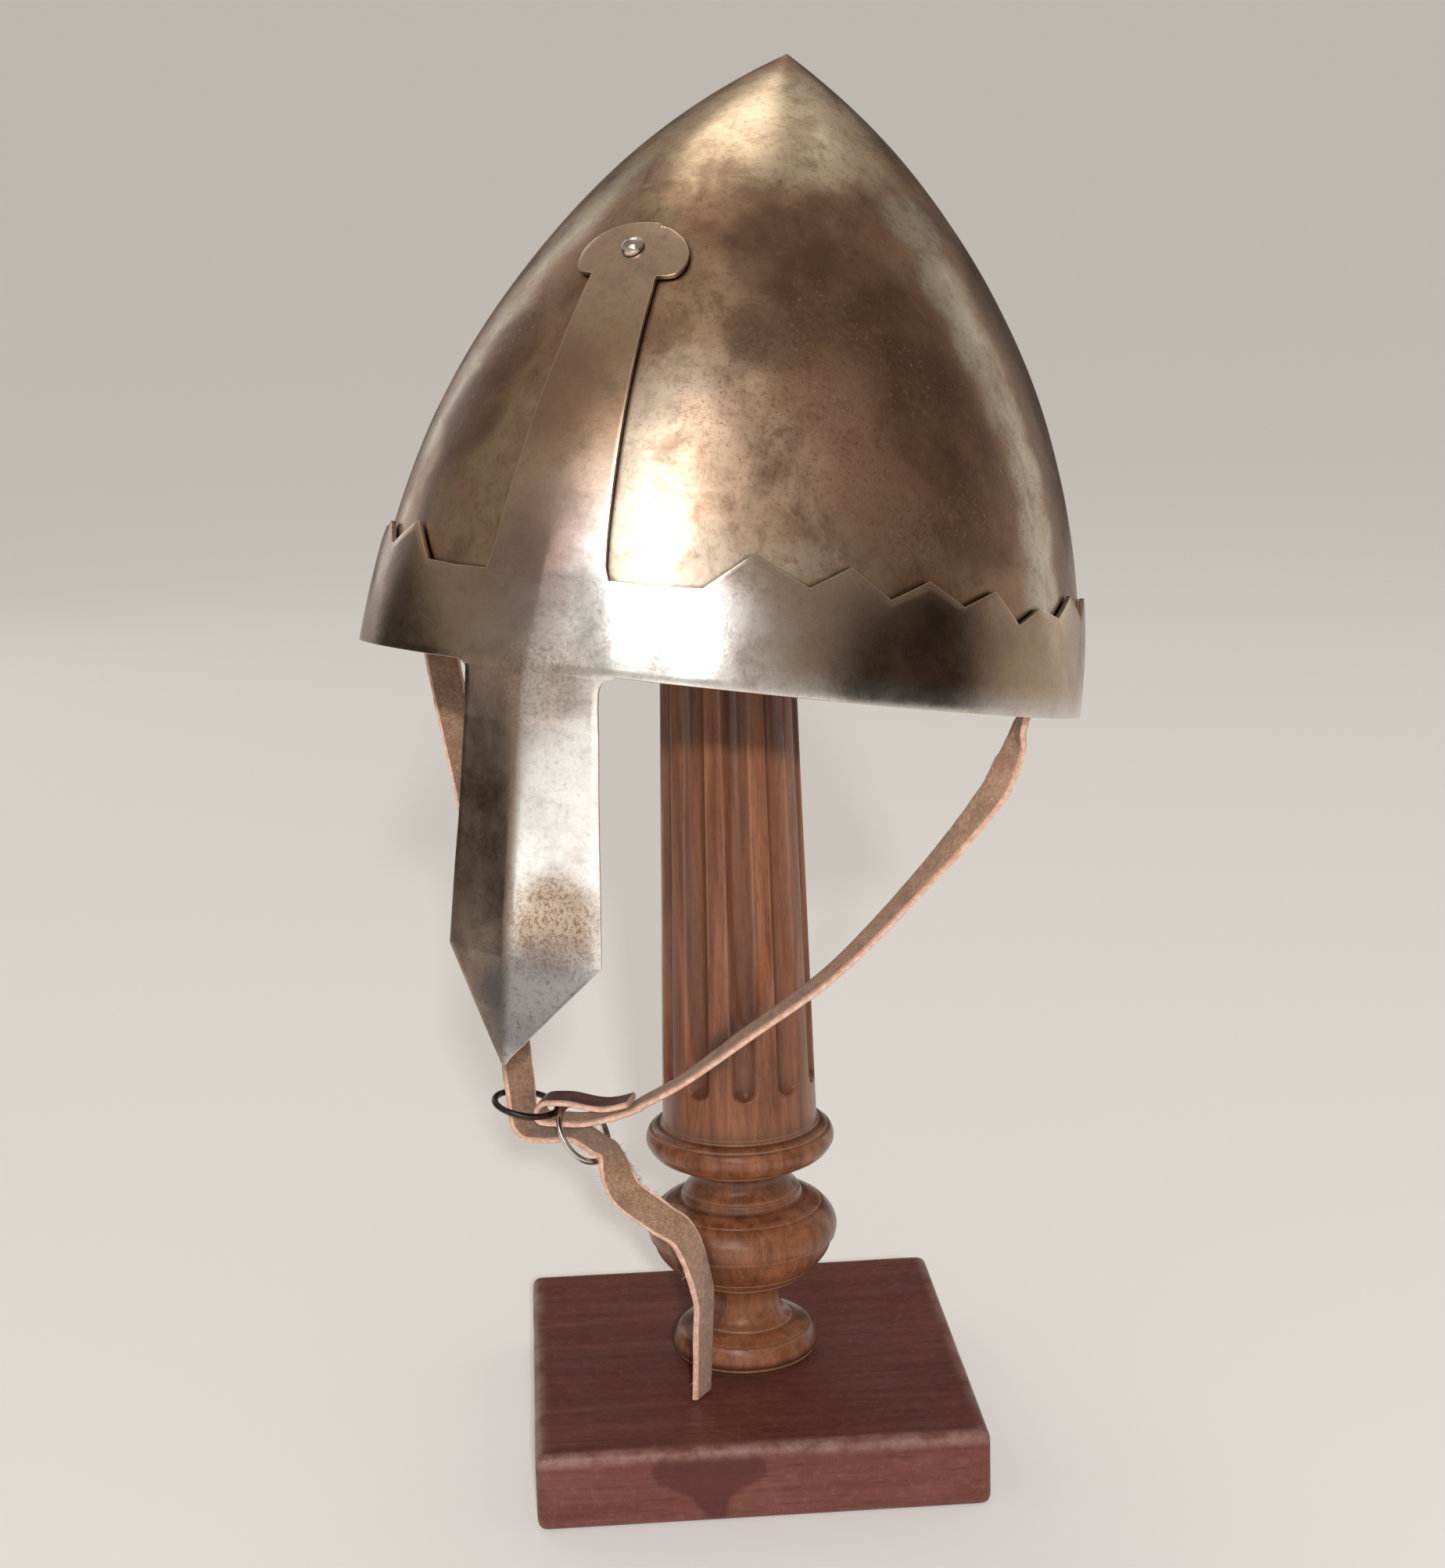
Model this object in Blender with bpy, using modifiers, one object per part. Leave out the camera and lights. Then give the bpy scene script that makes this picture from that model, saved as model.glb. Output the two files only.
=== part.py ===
"""A nasal helmet on a turned wooden stand, as separate named pieces.

Metres, +Z up. The helmet faces -Y, and the wearer's left side is at +X.
The origin is the middle of the stand's underside.
"""

import math

import bmesh
import bpy
from mathutils import Euler, Matrix, Vector

# Clearance between two pieces that touch, and what flat facets take from it
GAP = 0.0003
FACET_ROOM = 0.0003

# Stand: a square board and one turned, fluted column
BOARD_SIDE = 0.1405
BOARD_THICKNESS = 0.0247
BOARD_ROUNDING = 0.0038
BOARD_TURN = math.radians(31.0)
BALUSTER_HEIGHT = 0.0815
BULB_RADIUS = 0.0309
FLARE_RADIUS = 0.0237
NECK_RADIUS = 0.0114
COLLAR_RADIUS = 0.0305
COLUMN_LOW_RADIUS = 0.0250
COLUMN_TOP_RADIUS = 0.0176
FLUTE_COUNT = 10
FLUTE_RADIUS = 0.0044
FLUTE_DEPTH = 0.0026
FLUTE_RISE = 0.0125
FLUTE_TURN = math.radians(-59.0)

# Skull: a pointed, slightly oval bowl of sheet steel
SKULL_HALF_WIDTH = 0.1045
SKULL_HALF_LENGTH = 0.1149
SKULL_HEIGHT = 0.1873
SKULL_WALL = 0.0015
SKULL_BELLY = -0.044
SPINE_BOW = 0.0033
SPINE_TOP = 0.0019
APEX_LEAN = -0.0026
RIM_SIDE = 0.0104
RIM_FORWARD = 0.0235
RIM_RISE = 0.2558
HELMET_PITCH = math.radians(-11.4)
HELMET_ROLL = math.radians(3.0)

# Brow band, strip and nasal: one sheet over the skull
SHEET_WALL = 0.0015
BAND_HEIGHT = 0.0246
TOOTH_HEIGHT = 0.0352
TOOTH_PITCH = math.radians(13.0)
STRIP_FOOT_HALF_WIDTH = 0.0184
STRIP_NECK_HALF_WIDTH = 0.0101
STRIP_REACH = 0.0830
STRIP_LEAN = 0.0046
HEAD_HEIGHT = 0.0158
HEAD_HALF_WIDTH = 0.0168
NASAL_DROP = 0.1070
NASAL_HALF_WIDTH = 0.0234
NASAL_LEAN = 0.0119
NASAL_FOLD = math.radians(23.5)
KEEL_PROUD = 0.0018
KEEL_ROUNDING = 0.0022
RIVET_RADIUS = 0.0034
RIVET_DOME = 0.0025

# Chin strap: two leather straps that meet in a pair of rings
STRAP_WIDTH = 0.0110
STRAP_THICKNESS = 0.0020
STRAP_RIVET_RADIUS = 0.0040
STRAP_RIVET_THICKNESS = 0.0012
STRAP_RISE = 0.0165
LEFT_STRAP_ANGLE = math.radians(92)
RIGHT_STRAP_ANGLE = math.radians(-86)
WIRE_RADIUS = 0.0010
RING_ROOM = 0.0035
BUCKLE_TURN = math.radians(13.7)
BUCKLE_SIDE = 0.0465
BUCKLE_FORWARD = 0.0457
BUCKLE_RISE = 0.1142
BUCKLE_TILT = math.radians(11.0)
FOLD_LENGTH = 0.0290
LEFT_STRAP_SAG = 0.0278
LEFT_STRAP_BOW = 0.0110
RIGHT_STRAP_BOW = 0.0018

SKULL_SEGMENTS = 54
SKULL_RINGS = 14
TURNED_STEPS = 36

# The turned stand below the column, from the board up. Columns: share of
# BALUSTER_HEIGHT, share of the radius, and the radius that the row follows
TURNED_ROWS = (
    (0.000, 0.93, "foot"),
    (0.020, 0.97, "foot"),
    (0.050, 1.00, "foot"),
    (0.090, 0.96, "foot"),
    (0.118, 0.90, "foot"),
    (0.124, 0.85, "foot"),
    (0.146, 0.68, "foot"),
    (0.178, 1.14, "neck"),
    (0.240, 1.00, "neck"),
    (0.300, 1.05, "neck"),
    (0.330, 1.30, "neck"),
    (0.342, 0.63, "bulb"),
    (0.352, 0.66, "bulb"),
    (0.400, 0.81, "bulb"),
    (0.450, 0.91, "bulb"),
    (0.500, 0.952, "bulb"),
    (0.508, 0.985, "bulb"),
    (0.545, 1.00, "bulb"),
    (0.590, 0.965, "bulb"),
    (0.635, 0.86, "bulb"),
    (0.668, 0.70, "bulb"),
    (0.676, 0.64, "bulb"),
    (0.705, 0.61, "bulb"),
    (0.742, 0.53, "bulb"),
    (0.785, 0.51, "bulb"),
    (0.818, 0.60, "collar"),
    (0.825, 0.73, "collar"),
    (0.842, 0.77, "collar"),
    (0.860, 0.90, "collar"),
    (0.895, 0.98, "collar"),
    (0.925, 1.00, "collar"),
    (0.958, 0.965, "collar"),
    (0.983, 0.88, "collar"),
    (0.990, 1.035, "column"),
    (1.000, 1.00, "column"),
)
TURNED_RADII = {
    "foot": FLARE_RADIUS,
    "neck": NECK_RADIUS,
    "bulb": BULB_RADIUS,
    "collar": COLLAR_RADIUS,
    "column": COLUMN_LOW_RADIUS,
}

# Cut edge of the brow band on one side, from the strip round to where the
# teeth turn regular. Columns: degrees from the front, share of TOOTH_HEIGHT
BAND_EDGE = (
    (17.0, 0.70),
    (24.0, 0.72),
    (30.4, 1.01),
    (39.0, 0.81),
    (45.0, 1.00),
    (51.5, 0.79),
    (57.9, 0.965),
    (64.4, 0.80),
    (70.8, 0.95),
    (76.6, 0.71),
    (82.5, 0.86),
)
EDGE_VALLEY = 0.80

# Nasal below the rim. Columns: share of NASAL_DROP, of NASAL_HALF_WIDTH,
# of the slope of NASAL_FOLD and of NASAL_LEAN
NASAL_ROWS = (
    (0.011, 0.915, 0.46, 0.01),
    (0.033, 0.865, 0.52, 0.02),
    (0.075, 0.859, 0.61, 0.05),
    (0.140, 0.868, 0.71, 0.12),
    (0.280, 0.893, 0.78, 0.23),
    (0.420, 0.923, 0.86, 0.34),
    (0.560, 0.962, 0.94, 0.44),
    (0.729, 1.000, 1.00, 0.59),
    (0.860, 0.517, 1.00, 0.77),
    (0.985, 0.055, 1.00, 0.97),
    (1.000, 0.018, 1.00, 1.00),
)
NASAL_TOP_SHARE = 1.00

# Strip above the band: share of STRIP_REACH, share of the way from the foot
# width to the neck width
STRIP_ROWS = (
    (0.045, 0.16),
    (0.140, 0.27),
    (0.270, 0.39),
    (0.420, 0.52),
    (0.570, 0.65),
    (0.720, 0.78),
    (0.870, 0.90),
    (1.000, 1.00),
)

# Rounded head of the strip. Columns: share of HEAD_HEIGHT, of HEAD_HALF_WIDTH
HEAD_ROWS = (
    (0.03, 0.84),
    (0.12, 0.95),
    (0.28, 1.00),
    (0.50, 0.97),
    (0.72, 0.81),
    (0.89, 0.54),
    (0.98, 0.25),
    (1.00, 0.04),
)
SHEET_ACROSS = (-1.0, -0.55, -0.22, 0.0, 0.22, 0.55, 1.0)
BAND_LEVELS = (0.0, 0.34, 0.67, 1.0)

# Wearer's left strap between the rim and the rings. Columns: share of the way,
# of LEFT_STRAP_SAG, of LEFT_STRAP_BOW, and the width's turn in degrees
LEFT_STRAP_ROWS = (
    (0.015, 0.23, 0.55, -8),
    (0.036, 0.42, 0.64, -16),
    (0.081, 0.64, 0.82, -22),
    (0.219, 0.87, 0.96, -27),
    (0.417, 1.00, 1.00, -27),
    (0.625, 0.80, 0.77, -26),
    (0.763, 0.62, 0.33, -20),
    (0.863, 0.44, 0.27, -16),
)

# The fold's lower layer. Columns: shares of FOLD_LENGTH along and up
LOWER_LAYER_ROWS = (
    (1.00, 0.165),
    (0.78, 0.085),
    (0.58, 0.030),
    (0.42, 0.005),
    (0.24, 0.000),
)

# Wearer's right strap between the rim and the dark ring. Columns: share of the
# way, of RIGHT_STRAP_BOW, and the width's turn in degrees
RIGHT_STRAP_ROWS = (
    (0.120, 0.25, 63),
    (0.350, 1.00, 61),
    (0.650, 1.00, 50),
    (0.900, 0.45, 32),
)

# The same strap under the fold. Columns: shares of the ring's radius along and
# above the fold's lower layer, and the width's turn and rise in degrees
UNDER_FOLD_ROWS = (
    (-0.70, 0.20, 22, 0),
    (-0.62, -0.18, 20, 2),
    (-0.34, -0.44, 16, 6),
    (0.25, -0.50, 10, 10),
)

# The same strap through the bright ring. Columns: shares of the ring's radius
# along, across and off the ring's plane
THROUGH_RING_ROWS = (
    (-0.15, -0.07, -0.23),
    (0.22, -0.02, 0.00),
    (0.62, -0.02, 0.175),
    (1.00, -0.02, 0.34),
)

# Its free end beside the stand. Columns: bearing in degrees from the front,
# share of the least distance, share of BALUSTER_HEIGHT, width's turn and rise
TAIL_ROWS = (
    (-24.0, 1.327, 0.882, 26, 32),
    (-20.3, 1.273, 0.825, 36, 36),
    (-10.1, 1.151, 0.748, 42, 32),
    (-0.6, 1.054, 0.671, 34, 18),
    (6.4, 1.010, 0.443, 14, 3),
    (5.8, 1.000, 0.280, 6, 0),
    (4.6, 1.020, 0.012, 0, 0),
)


def clear_scene():
    for old in list(bpy.data.objects):
        bpy.data.objects.remove(old, do_unlink=True)


def new_collection(name, hidden=False):
    collection = bpy.data.collections.new(name)
    collection.hide_render = hidden
    bpy.context.scene.collection.children.link(collection)
    return collection


def material(name, color, roughness, metallic):
    made = bpy.data.materials.new(name)
    made.use_nodes = True
    shader = made.node_tree.nodes["Principled BSDF"]
    shader.inputs["Base Color"].default_value = (*color, 1.0)
    shader.inputs["Roughness"].default_value = roughness
    shader.inputs["Metallic"].default_value = metallic
    made.diffuse_color = (*color, 1.0)
    return made


def add_object(name, mesh, finish=None, parent=None, collection=None):
    made = bpy.data.objects.new(name, mesh)
    (collection or PARTS).objects.link(made)
    if finish:
        mesh.materials.append(finish)
    made.parent = parent
    return made


def mesh_from(name, points, faces):
    mesh = bpy.data.meshes.new(name)
    mesh.from_pydata(points, [], faces)
    mesh.validate()
    mesh.shade_smooth()
    mesh.set_sharp_from_angle(angle=math.radians(35))
    return mesh


def grid_faces(rows, columns, start=0, closed=False):
    """Quads of a grid whose points are listed row by row."""
    faces = []
    for row in range(rows - 1):
        for column in range(columns if closed else columns - 1):
            beside = (column + 1) % columns
            low = start + row * columns
            faces.append((low + column, low + beside, low + columns + beside, low + columns + column))
    return faces


def turned(name, profile, finish=None, collection=None, steps=TURNED_STEPS):
    """A body of revolution; profile holds (radius, height) from top to bottom."""
    mesh = bpy.data.meshes.new(name)
    points = [(radius, 0.0, height) for radius, height in profile]
    mesh.from_pydata(points, [(i, i + 1) for i in range(len(points) - 1)], [])
    made = add_object(name, mesh, finish, collection=collection)
    screw = made.modifiers.new("turn", "SCREW")
    screw.steps = steps
    screw.render_steps = steps
    screw.use_merge_vertices = True
    screw.merge_threshold = 0.00001
    return made


def quarter_arc(centre_height, radius, steps, upper=True):
    """Points (radius, height) of a quarter circle from the axis to its full width."""
    side = 1 if upper else -1
    turns = [math.pi / 2 * i / steps for i in range(steps + 1)]
    return [(radius * math.sin(t), centre_height + side * radius * math.cos(t)) for t in turns]


# The skull's surface in the helmet's own frame: +Z up from the rim, front at -Y
def ogive(height):
    """Radius share at this height, on a circular arc through the rim and the apex."""
    mean = (SKULL_HALF_WIDTH + SKULL_HALF_LENGTH) / 2
    tall = SKULL_HEIGHT / mean
    arc = (1 + (tall - SKULL_BELLY) ** 2 - SKULL_BELLY**2) / 2
    reach = arc**2 + SKULL_BELLY**2 - (height / mean - SKULL_BELLY) ** 2
    return max(1 - arc + math.sqrt(max(reach, 0.0)), 0.0)


def on_skull(angle, height):
    share = height / SKULL_HEIGHT
    radius = ogive(height)
    x = SKULL_HALF_WIDTH * radius * math.sin(angle) + APEX_LEAN * share**2
    y = -SKULL_HALF_LENGTH * radius * math.cos(angle)
    y += 4 * SPINE_BOW * share * (1 - share) + SPINE_TOP * share**2
    return Vector((x, y, height))


def skull_point(angle, height, lift=0.0):
    """A point lifted off the skull's outer surface along its normal."""
    small = 0.001
    low = min(max(height, 0.0), SKULL_HEIGHT - 2 * small)
    along = on_skull(angle + small, low) - on_skull(angle - small, low)
    up = on_skull(angle, low + small) - on_skull(angle, low)
    return on_skull(angle, height) + along.cross(up).normalized() * lift


def skull_point_at(side, height, lift=0.0):
    """The point on the skull's front that lies this far to the side."""
    share = (side - APEX_LEAN * (height / SKULL_HEIGHT) ** 2) / (SKULL_HALF_WIDTH * ogive(height))
    return skull_point(math.asin(share), height, lift)


def helmet_matrix():
    turn = Euler((HELMET_PITCH, 0, 0)).to_matrix() @ Euler((0, HELMET_ROLL, 0)).to_matrix()
    return Matrix.Translation((RIM_SIDE, -RIM_FORWARD, RIM_RISE)) @ turn.to_4x4()


def make_skull():
    points = []
    for ring in range(SKULL_RINGS):
        # Rings crowd towards the apex, where the radius changes fastest
        height = SKULL_HEIGHT * (1 - (1 - ring / SKULL_RINGS) ** 1.15)
        for i in range(SKULL_SEGMENTS):
            points.append(on_skull(2 * math.pi * i / SKULL_SEGMENTS, height))
    faces = grid_faces(SKULL_RINGS, SKULL_SEGMENTS, closed=True)
    points.append(on_skull(0, SKULL_HEIGHT))
    last = (SKULL_RINGS - 1) * SKULL_SEGMENTS
    for i in range(SKULL_SEGMENTS):
        faces.append((last + i, last + (i + 1) % SKULL_SEGMENTS, len(points) - 1))
    skull = add_object("skull", mesh_from("skull", points, faces), STEEL, HELMET)
    wall = skull.modifiers.new("wall", "SOLIDIFY")
    wall.thickness = SKULL_WALL
    wall.offset = -1


def band_edge():
    """(angle, height) along the band's cut edge, from the front round to the front."""
    half = [(math.radians(angle), share * TOOTH_HEIGHT) for angle, share in BAND_EDGE]
    angle = half[-1][0]
    count = max(int((math.pi - angle) / TOOTH_PITCH), 1)
    step = (math.pi - angle) / (count + 0.5)
    for i in range(count):
        half.append((angle + (i + 0.5) * step, EDGE_VALLEY * TOOTH_HEIGHT))
        half.append((angle + (i + 1) * step, TOOTH_HEIGHT))
    middle = [(math.pi, EDGE_VALLEY * TOOTH_HEIGHT)]
    return half + middle + [(2 * math.pi - a, height) for a, height in reversed(half)]


def refine(edge):
    """Adds a point halfway along each stretch, so that the band follows the skull."""
    finer = [edge[0]]
    for (angle_a, height_a), (angle_b, height_b) in zip(edge, edge[1:]):
        finer.append(((angle_a + angle_b) / 2, (height_a + height_b) / 2))
        finer.append((angle_b, height_b))
    return finer


def nasal_row(row):
    """Points across the nasal at one row of its table: two halves folded at the keel."""
    drop_share, width_share, fold_share, lean_share = row
    drop = drop_share * NASAL_DROP
    half_width = width_share * NASAL_HALF_WIDTH
    keel = -on_skull(0, 0).y + GAP + FACET_ROOM + KEEL_PROUD - lean_share * NASAL_LEAN
    slope = fold_share * math.tan(NASAL_FOLD)
    points = []
    for across in SHEET_ACROSS:
        side = across * half_width
        back = slope * (math.hypot(side, KEEL_ROUNDING) - KEEL_ROUNDING)
        points.append(Vector((side, back - keel, -drop)))
    return points


def strip_row(height, half_width, centre=0.0, proud=0.0):
    """Points across the sheet where it lies on the skull, with the fading keel."""
    points = []
    for across in SHEET_ACROSS:
        point = skull_point_at(centre + across * half_width, height, GAP + FACET_ROOM)
        point.y -= proud * max(0.0, 1 - abs(across) / 0.55)
        points.append(point)
    return points


def sheet_front():
    """Rows of the front of the sheet from the nasal's point up to the strip's head."""
    rows = [nasal_row(row) for row in reversed(NASAL_ROWS)]
    for level in BAND_LEVELS:
        half_width = NASAL_TOP_SHARE * NASAL_HALF_WIDTH
        half_width += (STRIP_FOOT_HALF_WIDTH - half_width) * level
        rows.append(strip_row(level * BAND_HEIGHT, half_width, proud=KEEL_PROUD * (1 - level) ** 1.5))
    whole = STRIP_REACH + HEAD_HEIGHT
    for share, narrowing in STRIP_ROWS:
        half_width = STRIP_FOOT_HALF_WIDTH + narrowing * (STRIP_NECK_HALF_WIDTH - STRIP_FOOT_HALF_WIDTH)
        rise = share * STRIP_REACH
        rows.append(strip_row(BAND_HEIGHT + rise, half_width, -STRIP_LEAN * rise / whole))
    for share, width_share in HEAD_ROWS:
        rise = STRIP_REACH + share * HEAD_HEIGHT
        centre = -STRIP_LEAN * rise / whole
        rows.append(strip_row(BAND_HEIGHT + rise, width_share * HEAD_HALF_WIDTH, centre))
    return rows


def make_band_and_nasal():
    rows = sheet_front()
    across = len(SHEET_ACROSS)
    points = [point for row in rows for point in row]
    faces = grid_faces(len(rows), across)
    # The band starts and ends on the front's edge points between the rim and its top
    first_row = len(NASAL_ROWS)
    previous = [(first_row + i) * across + across - 1 for i in range(len(BAND_LEVELS))]
    last = [(first_row + i) * across for i in range(len(BAND_LEVELS))]
    for angle, top in refine(band_edge()):
        column = []
        for level in BAND_LEVELS:
            column.append(len(points))
            points.append(skull_point(angle, level * top, GAP + FACET_ROOM))
        faces += ladder(previous, column)
        previous = column
    faces += ladder(previous, last)
    sheet = add_object("brow_band_nasal", mesh_from("brow_band_nasal", points, faces), BAND_STEEL, HELMET)
    wall = sheet.modifiers.new("wall", "SOLIDIFY")
    wall.thickness = SHEET_WALL
    wall.offset = 1
    wall.use_even_offset = True


def ladder(left, right):
    """Quads between two columns of points."""
    return [(left[i], right[i], right[i + 1], left[i + 1]) for i in range(len(left) - 1)]


def domed_disc(name, radius, flat, dome, place, outward, finish, parent=None):
    """A rivet head: a flat back, a short edge and a domed front."""
    sphere = (radius**2 + dome**2) / (2 * dome)
    half = math.asin(min(radius / sphere, 1.0))
    turns = [half * i / 4 for i in range(5)]
    profile = [(sphere * math.sin(t), flat + dome - sphere * (1 - math.cos(t))) for t in turns]
    head = turned(name, profile + [(radius, 0.0), (0.0, 0.0)], finish, steps=16)
    head.parent = parent
    head.location = place
    head.rotation_euler = outward.to_track_quat("Z", "Y").to_euler()


def make_strip_rivet():
    height = BAND_HEIGHT + STRIP_REACH + 0.5 * HEAD_HEIGHT
    centre = -STRIP_LEAN * (STRIP_REACH + 0.5 * HEAD_HEIGHT) / (STRIP_REACH + HEAD_HEIGHT)
    seat = skull_point_at(centre, height, SHEET_WALL + FACET_ROOM + 2.5 * GAP)
    outward = seat - skull_point_at(centre, height)
    domed_disc("strip_rivet", RIVET_RADIUS, 0.0004, RIVET_DOME, seat, outward, STEEL, HELMET)


# The stand
def make_board():
    mesh = bpy.data.meshes.new("base_board")
    shape = bmesh.new()
    bmesh.ops.create_cube(shape, size=1.0)
    bmesh.ops.scale(shape, vec=(BOARD_SIDE, BOARD_SIDE, BOARD_THICKNESS), verts=shape.verts)
    shape.to_mesh(mesh)
    shape.free()
    board = add_object("base_board", mesh, DARK_WOOD)
    board.location = (0, 0, BOARD_THICKNESS / 2)
    board.rotation_euler = (0, 0, BOARD_TURN)
    rounding = board.modifiers.new("rounding", "BEVEL")
    rounding.width = BOARD_ROUNDING
    rounding.segments = 3


def column_seat():
    """Height of the domed top's centre at which the dome carries the skull."""
    reach = COLUMN_TOP_RADIUS + GAP
    place = helmet_matrix()
    seats = []
    for step in range(60):
        height = SKULL_HEIGHT * (0.55 + 0.45 * step / 60)
        for i in range(72):
            point = place @ skull_point(2 * math.pi * i / 72, height, -SKULL_WALL)
            aside = math.hypot(point.x, point.y)
            if aside < reach:
                seats.append(point.z - math.sqrt(reach**2 - aside**2))
    return min(seats)


def column_radius(height):
    """Radius of the tapered column at this height above the ground."""
    low = BOARD_THICKNESS + BALUSTER_HEIGHT
    share = min(max((height - low) / (column_seat() - low), 0.0), 1.0)
    return COLUMN_LOW_RADIUS + share * (COLUMN_TOP_RADIUS - COLUMN_LOW_RADIUS)


def make_column():
    foot = BOARD_THICKNESS + GAP
    rise = BALUSTER_HEIGHT - GAP
    top = column_seat()
    profile = quarter_arc(top, COLUMN_TOP_RADIUS, 6)
    for share, width_share, follows in reversed(TURNED_ROWS):
        profile.append((width_share * TURNED_RADII[follows], foot + share * rise))
    column = turned("turned_column", profile + [(0.0, foot)], WOOD)
    low = Vector((COLUMN_LOW_RADIUS, 0, foot + rise + FLUTE_RISE))
    high = Vector((COLUMN_TOP_RADIUS, 0, top))
    start = low + Vector((FLUTE_RADIUS - FLUTE_DEPTH, 0, FLUTE_RADIUS))
    end = high + Vector((FLUTE_RADIUS - FLUTE_DEPTH, 0, -2 * FLUTE_RADIUS))
    length = (end - start).length
    rounded = quarter_arc(length, FLUTE_RADIUS, 4) + quarter_arc(0, FLUTE_RADIUS, 4, False)[::-1]
    cutters = []
    for i in range(FLUTE_COUNT):
        cutter = turned(f"flute_cutter_{i}", rounded, collection=CUTTERS, steps=14)
        turn = Matrix.Rotation(FLUTE_TURN + 2 * math.pi * i / FLUTE_COUNT, 4, "Z")
        lean = (end - start).to_track_quat("Z", "Y").to_matrix().to_4x4()
        cutter.matrix_world = turn @ Matrix.Translation(start) @ lean
        cutter.display_type = "WIRE"
        cutter.hide_render = True
        cutters.append(cutter)
    for cutter in cutters:
        cut = column.modifiers.new(cutter.name, "BOOLEAN")
        cut.operation = "DIFFERENCE"
        cut.object = cutter
        cut.solver = "EXACT"


# The straps: each route is a list of (place, width direction)
def heading(turn, rise=0):
    """A width direction: degrees from the back towards the wearer's left, and up."""
    turn, rise = math.radians(turn), math.radians(rise)
    return Vector((math.sin(turn) * math.cos(rise), math.cos(turn) * math.cos(rise), math.sin(rise)))


def buckle_frame():
    """Frame of the rings: X along the folded strap to the stand, Z up."""
    place = (-BUCKLE_SIDE, -BUCKLE_FORWARD, BUCKLE_RISE)
    return Matrix.Translation(place) @ Matrix.Rotation(BUCKLE_TURN, 4, "Z")


def between(values, share):
    """Catmull-Rom value at a share of the second of four values' stretch."""
    a, b, c, d = values
    rest = (2 * a - 5 * b + 4 * c - d) * share**2 + (3 * b - a - 3 * c + d) * share**3
    return (2 * b + (c - a) * share + rest) / 2


def smooth_route(route, per_span):
    """A finer route through the same stations."""
    ends = [route[0]] + list(route) + [route[-1]]
    finer = []
    for i in range(len(route) - 1):
        for step in range(per_span):
            share = step / per_span
            finer.append(tuple(between([ends[i + k][part] for k in range(4)], share) for part in (0, 1)))
    return finer + [route[-1]]


def make_ribbon(name, route, per_span=3):
    stations = smooth_route(route, per_span)
    points = []
    for i, (place, across) in enumerate(stations):
        before = stations[max(i - 1, 0)][0]
        after = stations[min(i + 1, len(stations) - 1)][0]
        along = (after - before).normalized()
        side = (across - along * across.dot(along)).normalized() * STRAP_WIDTH / 2
        points += [place - side, place + side]
    faces = grid_faces(len(stations), 2)
    strap = add_object(name, mesh_from(name, points, faces), LEATHER)
    wall = strap.modifiers.new("wall", "SOLIDIFY")
    wall.thickness = STRAP_THICKNESS
    wall.offset = 0
    wall.use_even_offset = True


def ring_radius():
    """Radius of a ring's wire centre: half the strap, room beside it and the wire."""
    return STRAP_WIDTH / 2 + RING_ROOM + WIRE_RADIUS


def dark_ring():
    """Centre and normal of the ring whose right side lies inside the fold."""
    radius = ring_radius()
    sagitta = radius - math.sqrt(radius**2 - (STRAP_WIDTH / 2) ** 2)
    right = STRAP_THICKNESS / 2 + WIRE_RADIUS + 2 * GAP
    centre = Vector((right + sagitta, 0, right))
    centre += Vector((-math.cos(BUCKLE_TILT), 0, math.sin(BUCKLE_TILT))) * radius
    return centre, Vector((math.sin(BUCKLE_TILT), 0, math.cos(BUCKLE_TILT)))


def bright_ring():
    """Centre and normal of the ring that the fold's lower layer passes through."""
    normal = Vector((0.78, -0.29, 0.58)).normalized()
    chord = Vector((0, 0, 1)).cross(normal).normalized()
    ascent = normal.cross(chord)
    hole = ring_radius() - WIRE_RADIUS - GAP
    drop = math.sqrt(hole**2 - (STRAP_WIDTH / 2 / chord.y) ** 2) - STRAP_THICKNESS / 2 / ascent.z - 2.5 * GAP
    crossing = dark_ring()[0].x + ring_radius() * 1.45 + 2 * WIRE_RADIUS
    return Vector((crossing, 0, 0)) - ascent * drop, normal


def fold_height():
    """Height of the upper layer over the lower one where it passes over the bright ring."""
    centre, normal = bright_ring()
    crown = centre.z + ring_radius() * math.hypot(normal.x, normal.y)
    return crown + WIRE_RADIUS + GAP + STRAP_THICKNESS / 2


def make_ring(name, centre, normal, finish):
    bpy.ops.mesh.primitive_torus_add(
        major_radius=ring_radius(), minor_radius=WIRE_RADIUS, major_segments=24, minor_segments=8
    )
    ring = bpy.context.object
    ring.name = name
    ring.data.name = name
    for collection in list(ring.users_collection):
        collection.objects.unlink(ring)
    PARTS.objects.link(ring)
    ring.data.materials.append(finish)
    ring.data.shade_smooth()
    frame = buckle_frame()
    outward = frame.to_3x3() @ normal
    ring.location = frame @ centre
    ring.rotation_euler = outward.to_track_quat("Z", "Y").to_euler()


def wall_inset():
    """Depth of a strap's outer face behind the skull's outer surface."""
    return SKULL_WALL + 4 * GAP + STRAP_WIDTH**2 / (8 * SKULL_HALF_WIDTH)


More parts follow.
